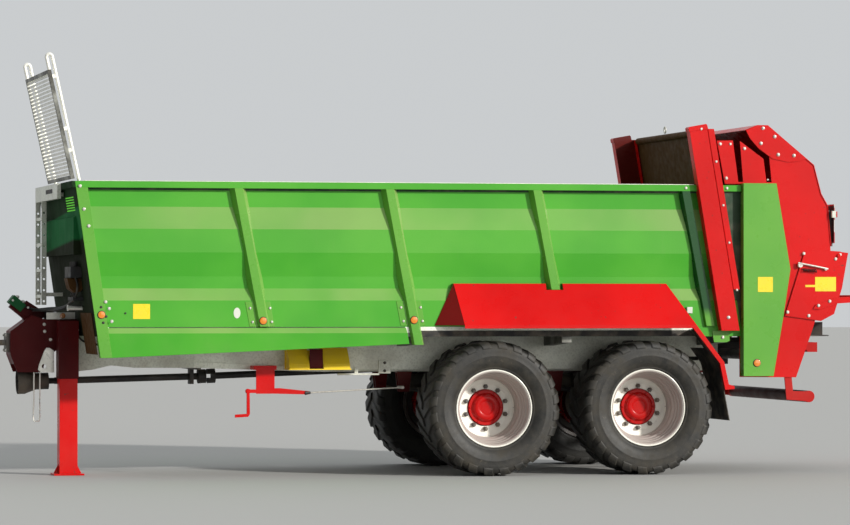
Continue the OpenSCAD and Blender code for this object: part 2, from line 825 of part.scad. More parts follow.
// Side plates of the rear unit, the hood over them and the chain cover

plate_t = 8;
hinge_at = [3285, 1750];
hinge_r = 14;
beater_low = [2665, beater_low_z];
beater_high = [2600, beater_high_z];
bearing_r = 30;
hood_line = [[2500, 2762], [2600, 2800], [2690, 2800], [3080, 2482], [3142, 2250], [3196, 2157],
    [3226, 1830]];
hood_t = [-5, -6];
hood_gap = [-6, -7];

module side_plate() {
    under_hood = shifted([for (i = [2:len(hood_line) - 1]) hood_line[i]], hood_gap);
    slot_low_z = 2340;
    // two upright tabs with open slots behind them, then the plate up to the hood
    tabs = [[2329, 2324], [2262, 2672], [2396, 2675], [2442, slot_low_z], [2482, slot_low_z],
        [2455, 2671], [2654, 2528], [2679, slot_low_z], [2722, slot_low_z], [2702, 2545]];
    outline = concat([[wall_rear_x, 770], [wall_rear_x, 2324]], tabs, under_hood,
        [[3221, 1787], [3306, 1783], [3306, 1722], [3160, 1600], [3110, 1300], [3078, 1183],
        [2928, 765]]);
    difference() {
        plate_xz(outline, wall_y, plate_t);
        rod_y(bearing_r + run_gap, beater_low[0], beater_low[1], 1000, 1100);
        rod_y(bearing_r + run_gap, beater_high[0], beater_high[1], 1000, 1100);
    }
    rod_y(hinge_r, hinge_at[0], hinge_at[1], wall_y + plate_t - 1, wall_y + plate_t + 26);
}

module side_plates() {
    color(bright_red) both_sides() side_plate();
}

cheek_t = 6;

module hood() {
    out_y = wall_y + plate_t + seat_gap;
    cheek = [[2504, 2756], [2602, 2799], [2688, 2799], [3018, 2530], [2940, 2508], [2855, 2503],
        [2728, 2529], [2610, 2612], [2540, 2690]];
    color(bright_red) {
        plate_xz(band(hood_line, hood_t), -out_y - cheek_t, 2 * (out_y + cheek_t));
        both_sides() plate_xz(cheek, out_y, cheek_t);
    }
}

cover_in_y = wall_y + plate_t + seat_gap;
cover_out_y = 1152;
cover_t = 4;
cover_line = [[2455, 778], [2455, 2328], [2732, 2328], [2849, 1636], [2792, 1275], [2706, 778]];
cover_middle = [2640, 1550];

// Folded sheet cover over the beater drive, on the left only
module chain_cover() {
    inner = [for (p = cover_line) p + [p[0] > cover_middle[0] ? -cover_t : cover_t,
        p[1] > cover_middle[1] ? -cover_t : cover_t]];
    color(leaf_green) mirror([0, 1, 0]) difference() {
        plate_xz(cover_line, cover_in_y, cover_out_y - cover_in_y);
        plate_xz(inner, cover_in_y - 1, cover_out_y - cover_in_y - cover_t + 1);
    }
}

// Beaters with their tines in two helices, and the discs below them

tine_count = 24;
tine_t = 12;
tine_w = 60;
beater_half = 985;

module beater(at, hand) {
    span = 2 * (beater_half - 60);
    translate([at[0], 0, at[1]]) {
        rod_y(core_r, 0, 0, -beater_half, beater_half);
        rod_y(bearing_r, 0, 0, -wall_y - plate_t, wall_y + plate_t);
        for (side = [-1, 1]) rod_y(core_r + 60, 0, 0, side * 985 - 5, side * 985 + 5);
        for (i = [0:tine_count - 1])
            translate([0, (i / (tine_count - 1) - 0.5) * span, 0])
                rotate([0, hand * i * 75, 0])
                    block([-tine_w / 2, -tine_t / 2, core_r - 5], [tine_w / 2, tine_t / 2,
                        beater_r - 3]);
    }
}

module beater_lower() {
    color(bright_red) beater(beater_low, 1);
}

module beater_upper() {
    color(bright_red) beater(beater_high, -1);
}

disc_t = 8;
vane_h = 105;
vane_count = 4;
disc_hub_r = 75;
disc_shaft_r = 25;

// A flat disc with a hub and cranked throwing vanes
module disc(hand) {
    difference() {
        union() {
            cylinder(r = disc_r, h = disc_t);
            translate([0, 0, -10]) cylinder(r = disc_hub_r, h = 60);
            for (i = [0:vane_count - 1])
                rotate([0, 0, i * 360 / vane_count])
                    linear_extrude(disc_t + vane_h) polygon([[60, hand * 30], [250, hand * 60],
                        [disc_r - 22, hand * 20], [disc_r - 20, hand * 28],
                        [252, hand * 70], [60, hand * 40]]);
        }
        translate([0, 0, -20]) cylinder(r = disc_shaft_r + run_gap, h = 60);
    }
}

module disc_left() {
    color(bright_red) translate([disc_x, -disc_y, disc_z]) disc(1);
}

module disc_right() {
    color(bright_red) translate([disc_x, disc_y, disc_z]) disc(-1);
}

box_r = 88;
beam_x = [3022, 3110];
beam_z = [970, 1048];

// Main gearbox, disc gearboxes, and the tubes that join them
module disc_gearbox() {
    top = disc_z - 20;
    mid_z = 980;
    color(steel_grey) difference() {
        union() {
            block([2448, -130, 860], [2640, 130, 1035]);
            bar_yz([[-60, 925], [60, 925], [60, 1040], [-60, 1040]], 2600, disc_x);
            rod_y(52, disc_x, mid_z, -disc_y, disc_y);
            rod_y(42, 2580, 950, seat_gap - wall_y, -100);
            both_sides() {
                translate([disc_x, disc_y, 900]) cylinder(r = box_r, h = top - 900);
                translate([disc_x, disc_y, top - 1]) cylinder(r = disc_shaft_r, h = 50);
                block([disc_x + 40, disc_y - 70, beam_z[0]], [beam_x[0] - seat_gap,
                    disc_y + 70, beam_z[1]]);
            }
        }
        along_line(line_end, rear_rise) translate([0, 0, -10]) cylinder(r = 22 + run_gap, h = 70);
    }
}

// Rear flap between two cheek plates, and the lamp bar that it carries

flap_cheek_y = wall_y + plate_t + 6;
flap_cheek_t = 8;
flap_line = [[3366, 1771], [3314, 1487], [3246, 1277]];

module rear_flap() {
    cheek = [[3000, 1786], [3238, 1787], [3366, 1771], [3314, 1487], [3246, 1277], [3135, 1220],
        [2830, 1261]];
    color(bright_red) {
        both_sides() difference() {
            plate_xz(cheek, flap_cheek_y, flap_cheek_t);
            rod_y(hinge_r + run_gap, hinge_at[0], hinge_at[1], 1000, 1100);
        }
        plate_xz(band(flap_line, [-6, 1]), -flap_cheek_y - 1, 2 * flap_cheek_y + 2);
    }
}

lamp_x = 3590;
lamp_bar_z = 1405;
lamp_bar_half = 1120;
lamp_bar_side = 50;
arm_t = 12;

module light_bar() {
    arm_y = flap_cheek_y + flap_cheek_t;
    top = lamp_bar_z + lamp_bar_side / 2;
    low = lamp_bar_z - lamp_bar_side / 2;
    arm = [[3066, 1318], [3090, 1354], [3262, 1408], [lamp_x, top], [lamp_x, low],
        [3268, 1362], [3120, 1314]];
    color(bright_red) {
        both_sides() plate_xz(arm, arm_y, arm_t);
        block([lamp_x - lamp_bar_side, -lamp_bar_half, low], [lamp_x, lamp_bar_half, top]);
    }
}

lamp_rear_x = -eye_x + eye_r;

module tail_lamps() {
    color(lamp_red) both_sides() {
        block([lamp_x, 880, 1350], [lamp_rear_x, 1110, 1450]);
        plate_xz([[lamp_x, 1431], [lamp_x + 6, 1431], [lamp_x + 6, 1330], [lamp_x, 1330]],
            640, 150);
    }
}

// Striped boards on brackets at the upper rear corners
board_z = [1850, 2165];
board_ys = [790, 1062];

// X of the hood's outer face at a height, over its last stretch
function hood_x(z) = 3196 + (2157 - z) * 30 / 327;

module warning_boards() {
    x = 3250;
    color(silver) both_sides() {
        block([x, board_ys[0], board_z[0]], [x + 4, board_ys[1], board_z[1]]);
        for (z = [1880, 2080])
            plate_xz([[hood_x(z) + 0.2, z], [x + 1, z], [x + 1, z + 40],
                [hood_x(z + 40) + 0.2, z + 40]], 940, 30);
    }
}

// Cross beam of the rear unit, and the underrun tube on its two arms
module rear_tube() {
    tube = [3040, 610];
    y1 = wall_y - seat_gap;
    arm = [[2830, 800], [2890, 800], [2905, 655], [3040, 650], [3040, 570], [2850, 585]];
    color(bright_red) {
        block([beam_x[0], -y1, beam_z[0]], [beam_x[1], y1, beam_z[1]]);
        both_sides() block([2950, 960, 985], [beam_x[0] + 1, y1, 1040]);
        rod_y(rear_tube_r, tube[0], tube[1], -y1, y1);
        both_sides() plate_xz(arm, y1 - 12, 12);
    }
}

// Axles, springs and hangers

brake_plate_r = 190;
beam_half = 640;
spindle_end_a = -45;
spring_seat_z = axle_z + axle_beam / 2 + 20;
hanger_pitch = axle_spacing / 2;
leaf_t = 14;
leaf_w = 60;
spring_rise = 70;
spring_end_z = spring_seat_z + leaf_t + spring_rise;
spring_half = hanger_pitch - 62;
eye_pin_r = 14;

module axles() {
    half = axle_beam / 2;
    color(black_paint) for (x = [axle_front_x, axle_rear_x]) {
        block([x - half, -beam_half, axle_z - half], [x + half, beam_half, axle_z + half]);
        both_sides() {
            rod_y(spindle_r, x, axle_z, beam_half - 1, half_track + spindle_end_a);
            rod_y(brake_plate_r, x, axle_z, beam_half, beam_half + 12);
            block([x - 60, frame_y - 45, axle_z + half - 1], [x + 60, frame_y + 45,
                spring_seat_z]);
        }
    }
}

// Height of a leaf's underside at a distance from the seat
function leaf_z(d) = spring_seat_z + spring_rise * pow(d / spring_half, 2);

// One spring over an axle: three leaves and its two end eyes
module spring(x) {
    leaves = [[0, 1], [1, 0.72], [2, 0.44]];
    translate([x, 0, 0]) difference() {
        union() {
            for (leaf = leaves) {
                reach = spring_half * leaf[1];
                line = [for (i = [-6:6]) [reach * i / 6, leaf_z(reach * i / 6) + leaf_t * leaf[0]]];
                plate_xz(band(line, [0, leaf_t + 0.5]), frame_y - leaf_w / 2, leaf_w);
            }
            for (end = [-1, 1])
                rod_y(27, end * spring_half, spring_end_z, frame_y - leaf_w / 2,
                    frame_y + leaf_w / 2);
            block([-55, frame_y - leaf_w / 2, spring_seat_z], [55, frame_y + leaf_w / 2,
                spring_seat_z + 62]);
        }
        for (end = [-1, 1])
            rod_y(eye_pin_r + 0.2, end * spring_half, spring_end_z, 300, 600);
    }
}

module springs() {
    color(black_paint) both_sides() {
        spring(axle_front_x);
        spring(axle_rear_x);
    }
}

// A hanger: two side plates under the rail, with a pin for each spring eye in it
module hanger(pins) {
    low = spring_end_z - 45;
    x0 = min(pins) - 60;
    x1 = max(pins) + 60;
    side = [[x0, frame_z], [x1, frame_z], [x1 - 20, low], [x0 + 20, low]];
    for (y = [rail_in_y, rail_out_y - 8]) plate_xz(side, y, 8);
    block([x0, rail_in_y, frame_z - 12], [x1, rail_out_y, frame_z]);
    for (x = pins) rod_y(eye_pin_r, x, spring_end_z, rail_in_y - 12, rail_out_y + 12);
}

module hangers() {
    color(dark_red) both_sides() {
        hanger([axle_front_x - spring_half]);
        hanger([axle_front_x + spring_half, axle_rear_x - spring_half]);
        hanger([axle_rear_x + spring_half]);
    }
}

// Parking brake winch on a bracket, and the wheel chocks in their holder, on the left
module park_brake() {
    plate_y = 628;
    plate_t = 12;
    plate_x = [-1425, -1277];
    low_z = 646;
    shelf_z = [835, 868];
    crank = [-1492, 666];
    handle = [crank + [-12, 0], crank + [12, 0], crank + [14, -180], crank + [0, -202],
        crank + [-106, -208], crank + [-106, -184], crank + [-12, -178]];
    arm = [[plate_x[1] - 5, low_z], [plate_x[1] - 5, low_z + 42], [-1235, low_z + 44],
        [-999, low_z + 18], [-999, low_z - 8]];
    color(bright_red) mirror([0, 1, 0]) {
        block([-1446, rail_out_y + seat_gap, shelf_z[0]], [-1260, plate_y + plate_t, shelf_z[1]]);
        block([plate_x[0], plate_y, low_z], [plate_x[1], plate_y + plate_t, shelf_z[0] + 1]);
        block([crank[0], plate_y + 2, low_z + 6], [plate_x[0] + 1, plate_y + plate_t, low_z + 34]);
        rod_y(20, crank[0], crank[1], plate_y - 2, plate_y + 24);
        plate_xz(handle, plate_y + 14, 12);
        plate_xz(arm, plate_y, plate_t);
        rod_y(40, -1351, low_z + 94, plate_y - 70, plate_y + 1);
    }
}

module wheel_chocks() {
    back_y = 560;
    chock_x = [[-1172, -1011], [-897, -682]];
    chock_z = [843, 1008];
    holder_x = [-1180, -674];
    side = [[back_y - 1, chock_z[0] - 1], [back_y + 175, chock_z[0] - 1], [back_y + 160, chock_z[0] + 40],
        [back_y + 105, chock_z[0] + 105], [back_y + 40, chock_z[1]], [back_y - 1, chock_z[1]]];
    color(chock_yellow) mirror([0, 1, 0]) {
        for (x = chock_x) bar_yz(side, x[0], x[1]);
        block([holder_x[0], back_y - 12, chock_z[0] - 8], [holder_x[1], back_y + 178, chock_z[0]]);
        block([holder_x[0], back_y - 12, chock_z[0] - 8], [holder_x[1], back_y, chock_z[1] - 20]);
        for (x = [-1090, -810])
            block([x - 15, rail_out_y, 900], [x + 15, back_y - 11, 940]);
    }
}

// Wheels: drawn round +Z with +Z outwards, then set on a spindle

disc_out_a = -68;
disc_in_a = -82;
barrel_r = 140;
bead_gap = 0.3;
lip_r = rim_r + 19;

// columns: radius, distance outwards from the wheel's middle plane
rim_profile = [[rim_r, -216], [rim_r, -90], [252, -70], [252, 70], [rim_r, 90], [rim_r, 216],
    [lip_r, 222], [lip_r, 236], [rim_r - 8, 230], [rim_r - 10, 96], [244, 76],
    [244, disc_out_a + 8], [180, disc_out_a], [barrel_r + bead_gap, disc_out_a],
    [barrel_r + bead_gap, disc_in_a], [244, disc_in_a], [rim_r - 10, -98], [rim_r - 8, -230],
    [lip_r, -236], [lip_r, -222]];
tyre_wall = 34;
crown_r = tyre_r - 18;
lug_count = 24;
lug_w = 56;
lug_slant = 24;

// Carcass between the beads, up to the ground between the lugs
module tyre_body() {
    half = tyre_w / 2;
    r0 = rim_r + bead_gap;
    outer = [[r0, -215.5], [rim_r + 19.4, -221.5], [rim_r + 24, -240], [r0 + 90, -half + 4],
        [r0 + 130, -half], [crown_r - 34, -half + 4], [crown_r - 8, -half + 20], [crown_r, -half + 52],
        [crown_r, 0]];
    side = [for (p = outer) [p[0], -p[1]]];
    inner = [[r0, -180], [r0 + 60, -half + tyre_wall + 6], [tyre_r - 90, -half + tyre_wall],
        [tyre_r - 50, -half + 90]];
    hollow = [for (p = inner) [p[0], -p[1]]];
    rotate_extrude($fn = 96)
        polygon(concat(outer, reversed([for (i = [0:len(side) - 2]) side[i]]), hollow,
            reversed(inner)));
}

// One slanting tread lug from near the middle down over the shoulder
module lug(side) {
    half = tyre_w / 2;
    profile = [[crown_r - 12, 22], [tyre_r + 6, 22], [tyre_r + 6, half - 22], [tyre_r - 10, half - 4],
        [tyre_r - 34, half + 9], [tyre_r - 60, half + 10], [tyre_r - 60, half - 40],
        [crown_r - 22, half - 60]];
    mirror([0, 0, side]) translate([0, 0, half / 2]) rotate([lug_slant, 0, 0])
        translate([0, lug_w / 2, -half / 2]) rotate([90, 0, 0])
            linear_extrude(lug_w) polygon(profile);
}

module tyre() {
    union() {
        tyre_body();
        intersection() {
            union() {
                for (side = [0, 1]) for (i = [0:lug_count - 1])
                    rotate([0, 0, 90 + (i + side / 2) * 360 / lug_count]) lug(side);
            }
            translate([0, 0, -tyre_w / 2]) cylinder(r = tyre_r, h = tyre_w, $fn = 96);
        }
    }
}

module rim_body() {
    rotate_extrude($fn = 96) polygon(rim_profile);
}

drum_in_a = -270;
drum_out_a = -104;
barrel_out_a = -52;
cap_out_a = -30;

module hub_body() {
    color(bright_red) difference() {
        union() {
            translate([0, 0, drum_in_a]) cylinder(r = 205, h = drum_out_a - drum_in_a);
            translate([0, 0, drum_out_a - 1]) cylinder(r = 190, h = disc_in_a - drum_out_a + 1);
            translate([0, 0, disc_in_a - 1]) cylinder(r = barrel_r, h = barrel_out_a - disc_in_a + 1);
            translate([0, 0, barrel_out_a - 1]) cylinder(r1 = 118, r2 = 100,
                h = cap_out_a - barrel_out_a + 1);
        }
        translate([0, 0, drum_in_a - 1]) cylinder(r = spindle_r + run_gap,
            h = spindle_end_a + 7 - drum_in_a);
    }
}

module on_spindle(x, side) {
    translate([x, side * half_track, axle_z]) rotate([-side * 90, 0, 0]) children();
}

left = -1;
right = 1;

module tyre_front_left() {
    color(rubber_grey) on_spindle(axle_front_x, left) tyre();
}

module tyre_front_right() {
    color(rubber_grey) on_spindle(axle_front_x, right) tyre();
}

module tyre_rear_left() {
    color(rubber_grey) on_spindle(axle_rear_x, left) tyre();
}

module tyre_rear_right() {
    color(rubber_grey) on_spindle(axle_rear_x, right) tyre();
}

module rim_front_left() {
    color(silver) on_spindle(axle_front_x, left) rim_body();
}

module rim_front_right() {
    color(silver) on_spindle(axle_front_x, right) rim_body();
}

module rim_rear_left() {
    color(silver) on_spindle(axle_rear_x, left) rim_body();
}

module rim_rear_right() {
    color(silver) on_spindle(axle_rear_x, right) rim_body();
}

module hub_front_left() {
    on_spindle(axle_front_x, left) hub_body();
}

module hub_front_right() {
    on_spindle(axle_front_x, right) hub_body();
}

module hub_rear_left() {
    on_spindle(axle_rear_x, left) hub_body();
}

module hub_rear_right() {
    on_spindle(axle_rear_x, right) hub_body();
}

frame_rails();
cross_members();
drawbar();
hitch_head();
towing_eye();
jack_sleeve();
jack_leg();
drive_guard();
front_shaft();
rear_shaft();
floor();
floor_chains();
chain_shafts();
side_walls();
stakes();
front_wall();
front_guard();
ladder();
fenders();
mudflaps();
gate_posts();
gate_panel();
side_plates();
hood();
chain_cover();
beater_lower();
beater_upper();
disc_gearbox();
disc_left();
disc_right();
rear_flap();
light_bar();
tail_lamps();
warning_boards();
rear_tube();
axles();
springs();
hangers();
park_brake();
wheel_chocks();
tyre_front_left();
rim_front_left();
hub_front_left();
tyre_front_right();
rim_front_right();
hub_front_right();
tyre_rear_left();
rim_rear_left();
hub_rear_left();
tyre_rear_right();
rim_rear_right();
hub_rear_right();
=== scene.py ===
"""Looks of the manure spreader: materials, small fittings, light and camera, in metres."""
import math

import bmesh
import bpy
from mathutils import Matrix, Vector


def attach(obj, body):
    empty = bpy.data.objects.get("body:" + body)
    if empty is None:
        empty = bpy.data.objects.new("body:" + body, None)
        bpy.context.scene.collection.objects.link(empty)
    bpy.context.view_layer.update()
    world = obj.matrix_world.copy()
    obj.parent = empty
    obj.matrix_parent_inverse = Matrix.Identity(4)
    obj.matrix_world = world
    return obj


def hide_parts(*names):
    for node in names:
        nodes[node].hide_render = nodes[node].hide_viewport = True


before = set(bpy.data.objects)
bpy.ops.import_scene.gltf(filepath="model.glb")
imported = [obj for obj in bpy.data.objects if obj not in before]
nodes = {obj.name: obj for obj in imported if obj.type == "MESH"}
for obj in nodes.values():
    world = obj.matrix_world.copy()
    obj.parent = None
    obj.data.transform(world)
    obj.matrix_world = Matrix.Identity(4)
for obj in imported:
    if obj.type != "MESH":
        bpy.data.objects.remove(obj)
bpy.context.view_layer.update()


# Camera: the place and angle from which the photograph was taken

CAMERA_AT = (-6.995, -31.2, 1.39)
CAMERA_YAW = math.radians(12.8)
CAMERA_PITCH = math.radians(0.549)
LENS_MM = 165.64

camera_data = bpy.data.cameras.new("camera")
camera_data.lens = LENS_MM
camera_data.sensor_width = 36
camera_data.sensor_fit = "HORIZONTAL"
camera_data.clip_end = 200
camera = bpy.data.objects.new("camera", camera_data)
camera.location = CAMERA_AT
camera.rotation_euler = (math.pi / 2 + CAMERA_PITCH, 0, -CAMERA_YAW)
bpy.context.scene.collection.objects.link(camera)
bpy.context.scene.camera = camera
bpy.context.scene.view_settings.view_transform = "Standard"


# Materials

class Graph:
    """A material and short calls that add nodes to it. Coordinates are metres in the machine's frame."""

    def __init__(self, name):
        self.mat = bpy.data.materials.new(name)
        self.mat.use_nodes = True
        self.nodes = self.mat.node_tree.nodes
        self.links = self.mat.node_tree.links
        self.bsdf = self.nodes["Principled BSDF"]
        source = self.add("ShaderNodeTexCoord")
        self.coord = source.outputs["Object"]
        self.x, self.y, self.z = self.parts(self.coord)
        self.side_x, self.side_y, self.up = self.parts(source.outputs["Normal"])

    def add(self, kind, **settings):
        node = self.nodes.new(kind)
        for key, value in settings.items():
            setattr(node, key, value)
        return node

    def link(self, source, target):
        self.links.new(source, target)

    def parts(self, vector):
        split = self.add("ShaderNodeSeparateXYZ")
        self.link(vector, split.inputs[0])
        return split.outputs

    def put(self, value, socket):
        if isinstance(value, bpy.types.NodeSocket):
            self.link(value, socket)
        else:
            socket.default_value = value

    def noise(self, scale, detail=4.0, rough=0.55, stretch=None):
        node = self.add("ShaderNodeTexNoise")
        node.inputs["Scale"].default_value = scale
        node.inputs["Detail"].default_value = detail
        node.inputs["Roughness"].default_value = rough
        at = self.coord
        if stretch:
            scaled = self.add("ShaderNodeVectorMath", operation="MULTIPLY")
            self.link(at, scaled.inputs[0])
            scaled.inputs[1].default_value = stretch
            at = scaled.outputs[0]
        self.link(at, node.inputs["Vector"])
        return node.outputs["Fac"]

    def cells(self, scale):
        node = self.add("ShaderNodeTexVoronoi")
        node.inputs["Scale"].default_value = scale
        self.link(self.coord, node.inputs["Vector"])
        return node.outputs[0]

    def outwards(self):
        """1 on faces that look away from the middle plane, -1 on faces that look to it."""
        return self.math("MULTIPLY", self.side_y, self.math("SIGN", self.y, clamp=False), clamp=False)

    def ramp(self, value, low, high, to_low=0.0, to_high=1.0):
        node = self.add("ShaderNodeMapRange", interpolation_type="SMOOTHSTEP")
        self.link(value, node.inputs["Value"])
        for key, number in (("From Min", low), ("From Max", high),
                            ("To Min", to_low), ("To Max", to_high)):
            node.inputs[key].default_value = number
        return node.outputs["Result"]

    def math(self, operation, a, b=0.0, clamp=True):
        node = self.add("ShaderNodeMath", operation=operation, use_clamp=clamp)
        self.put(a, node.inputs[0])
        self.put(b, node.inputs[1])
        return node.outputs[0]

    def mix(self, factor, a, b):
        node = self.add("ShaderNodeMix", data_type="RGBA")
        self.put(factor, node.inputs[0])
        for value, socket in ((a, node.inputs[6]), (b, node.inputs[7])):
            self.put((*value, 1.0) if isinstance(value, tuple) else value, socket)
        return node.outputs[2]

    def surface(self, colour, rough, bump=None, bump_depth=0.001, edge=0.0):
        """Links what varies over the surface; with a bump, edge rounds sharp edges in the shading."""
        self.put(colour, self.bsdf.inputs["Base Color"])
        self.put(rough, self.bsdf.inputs["Roughness"])
        if bump is not None:
            rounding = self.add("ShaderNodeBevel", samples=4)
            rounding.inputs["Radius"].default_value = edge
            relief = self.add("ShaderNodeBump")
            relief.inputs["Distance"].default_value = bump_depth
            relief.inputs["Strength"].default_value = 1.0
            self.link(bump, relief.inputs["Height"])
            self.link(rounding.outputs[0], relief.inputs["Normal"])
            self.link(relief.outputs[0], self.bsdf.inputs["Normal"])
        return self.mat


# colours of dust and soil, and of painted shade and a painted sheen, as linear red, green and blue
DUST = (0.3, 0.24, 0.17)
MUD = (0.1, 0.075, 0.05)
# pale dust, also standing for a painted sheen of the sky on faces that look up
PALE_DUST_AND_SHEEN = (0.44, 0.42, 0.21)
# soil, also used for painted shade
SOIL_AND_SHADE = (0.016, 0.009, 0.007)
SHADE_GREEN = (0.006, 0.062, 0.012)


def painted(name, light, dark, dirt=1.0, rough=0.3, coat=0.08, gloss=0.28, settled_dust_and_sheen=0.0, chips=None,
            inner_soil_and_shade=0.0, front_shade=0.0, dark_within=None, shade_band=None, post_shadow_from=None):
    """Enamel on sheet steel: slow changes of tone, dust that thickens downwards, and splashes.

    settled_dust_and_sheen: pale dust and a painted sheen of the sky on faces that look up, in patches;
    inner_soil_and_shade: darker on faces that look to the middle plane, soil on the rear unit and
    painted shade on the wheels; front_shade: painted shade on faces that look to the front;
    dark_within: dark brown nearer to the middle plane than this; shade_band: painted shade under the
    first of its two heights and over the second; post_shadow_from: painted shadow of the gate post,
    darker green from this X to the rear."""
    g = Graph(name)
    tone = g.mix(g.ramp(g.noise(1.1, 3), 0.35, 0.65), dark, light)
    tone = g.mix(g.ramp(g.noise(14, 5, 0.6), 0.45, 0.75, 0, 0.12), tone, dark)
    if chips:
        spots = g.math("MULTIPLY", g.ramp(g.noise(38, 3), 0.66, 0.7), g.ramp(g.noise(5), 0.5, 0.62))
        tone = g.mix(spots, tone, chips)
    low = g.ramp(g.z, 0.3, 1.6, 0.4 * dirt, 0.03 * dirt)
    film = g.math("MULTIPLY", g.ramp(g.noise(2.3, 6, 0.65), 0.4, 0.74), low)
    streaks = g.ramp(g.noise(5, 4, 0.6, (6, 6, 0.5)), 0.58, 0.78, 0, 0.08 * dirt)
    tone = g.mix(g.math("MAXIMUM", film, streaks), tone, DUST)
    specks = g.math("MULTIPLY", g.ramp(g.noise(60, 2), 0.66, 0.71), g.ramp(g.z, 0.3, 1.3, 0.6 * dirt, 0))
    tone = g.mix(specks, tone, MUD)
    # pale dust and a painted sheen of the sky, in patches on faces that look up
    if settled_dust_and_sheen:
        patchy = g.ramp(g.noise(0.9, 3), 0.35, 0.65, 0.6 * settled_dust_and_sheen, 1.2 * settled_dust_and_sheen)
        tone = g.mix(g.math("MULTIPLY", g.ramp(g.up, -0.02, 0.16), patchy), tone, PALE_DUST_AND_SHEEN)
    # darker on faces that look to the middle plane: soil on the rear unit, painted shade on the wheels
    if inner_soil_and_shade:
        tone = g.mix(g.ramp(g.outwards(), -0.5, -0.2, inner_soil_and_shade, 0), tone, SOIL_AND_SHADE)
    # painted shade on faces that look to the front
    if front_shade:
        tone = g.mix(g.ramp(g.side_x, -0.5, -0.3, front_shade, 0), tone, SOIL_AND_SHADE)
    # painted shadow of the gate post: dark green on the last stake, from this X to the rear
    if post_shadow_from:
        shaded = g.math("MULTIPLY", g.ramp(g.x, post_shadow_from, post_shadow_from + 0.02),
                        g.ramp(g.z, 1.24, 1.34))
        tone = g.mix(shaded, tone, SHADE_GREEN)
    # dark brown nearer to the middle plane than the given distance
    if dark_within:
        reach = g.math("ABSOLUTE", g.y, clamp=False)
        tone = g.mix(g.ramp(reach, dark_within - 0.03, dark_within, 0.92, 0), tone, SOIL_AND_SHADE)
    # painted shade under the lower height and over the upper one, on lines slanted along the wall
    if shade_band:
        low, high = shade_band
        rise_to_the_right = 0.048
        slanted = g.math("ADD", g.z, g.math("MULTIPLY", g.y, rise_to_the_right, clamp=False), clamp=False)
        tone = g.mix(g.ramp(slanted, low - 0.03, low, 0.9, 0), tone, SOIL_AND_SHADE)
        tone = g.mix(g.ramp(slanted, high, high + 0.02, 0, 0.75), tone, SOIL_AND_SHADE)
    g.bsdf.inputs["Specular IOR Level"].default_value = gloss
    g.bsdf.inputs["Coat Weight"].default_value = coat
    g.bsdf.inputs["Coat Roughness"].default_value = 0.15
    roughness = g.math("ADD", g.ramp(g.noise(7, 4), 0.3, 0.7, rough - 0.06, rough + 0.08),
                       g.math("MULTIPLY", film, 0.5))
    return g.surface(tone, roughness, g.noise(90, 3), 0.0003, edge=0.004)


def galvanised(name, light=(0.88, 0.9, 0.8), dark=(0.72, 0.74, 0.65), dirt=1.0, rough=0.44,
               metallic=0.15):
    """Dipped steel: a faint spangle, dull grey blotches and dust low down."""
    g = Graph(name)
    spangle = g.cells(55)
    tone = g.mix(g.ramp(spangle, 0.1, 0.7), dark, light)
    tone = g.mix(g.ramp(g.noise(3, 5, 0.6), 0.4, 0.66, 0, 0.5), tone, (0.6, 0.61, 0.55))
    low = g.ramp(g.z, 0.3, 1.4, 0.55 * dirt, 0.1 * dirt)
    film = g.math("MULTIPLY", g.ramp(g.noise(4, 6, 0.65), 0.38, 0.68), low)
    tone = g.mix(film, tone, DUST)
    g.bsdf.inputs["Metallic"].default_value = metallic
    roughness = g.math("ADD", g.ramp(g.noise(9), 0.3, 0.7, rough - 0.04, rough + 0.12),
                       g.math("MULTIPLY", film, 0.3))
    return g.surface(tone, roughness, spangle, 0.0004, edge=0.003)


def dark_steel(name, base=(0.035, 0.035, 0.037), rust=0.35, metallic=0.3, dust=0.7,
               rust_tone=(0.13, 0.055, 0.025), gloss=0.5):
    """Blackened or worn steel with rust patches and dust."""
    g = Graph(name)
    tone = g.mix(g.ramp(g.noise(11, 6, 0.6), 0.5, 0.7, 0, rust), base, rust_tone)
    film = g.math("MULTIPLY", g.ramp(g.noise(4, 5), 0.4, 0.7), g.ramp(g.z, 0.3, 1.5, dust, 0.3 * dust))
    tone = g.mix(film, tone, DUST)
    g.bsdf.inputs["Metallic"].default_value = metallic
    g.bsdf.inputs["Specular IOR Level"].default_value = gloss
    roughness = g.ramp(g.noise(16, 4), 0.3, 0.7, 0.5, 0.75)
    return g.surface(tone, roughness, g.noise(70, 4), 0.0006, edge=0.003)


def tyre_rubber(name):
    """Dusty black rubber, with dried soil in the corners and on the tread."""
    g = Graph(name)
    base = g.mix(g.ramp(g.noise(24, 4), 0.4, 0.6), (0.008, 0.008, 0.007), (0.016, 0.015, 0.013))
    dust = g.math("MULTIPLY", g.ramp(g.noise(5.5, 7, 0.68), 0.36, 0.74), 0.42)
    tone = g.mix(dust, base, (0.088, 0.074, 0.052))
    clods = g.ramp(g.noise(30, 5, 0.7), 0.62, 0.7, 0, 0.45)
    tone = g.mix(clods, tone, (0.12, 0.1, 0.07))
    # painted shade: near black on faces that look to the middle plane
    tone = g.mix(g.ramp(g.outwards(), -0.6, -0.3, 0.85, 0), tone, (0.005, 0.005, 0.004))
    roughness = g.ramp(dust, 0.0, 0.6, 0.55, 0.92)
    return g.surface(tone, roughness, g.noise(140, 4, 0.7), 0.0009, edge=0.004)


def plastic(name, base, rough=0.4, dirt=0.3, coat=0.0):
    g = Graph(name)
    tone = g.mix(g.ramp(g.noise(8, 5), 0.42, 0.7, 0, dirt), base, DUST)
    g.bsdf.inputs["Coat Weight"].default_value = coat
    return g.surface(tone, g.ramp(g.noise(20), 0.3, 0.7, rough - 0.05, rough + 0.1),
                     g.noise(200, 2), 0.0002, edge=0.002)


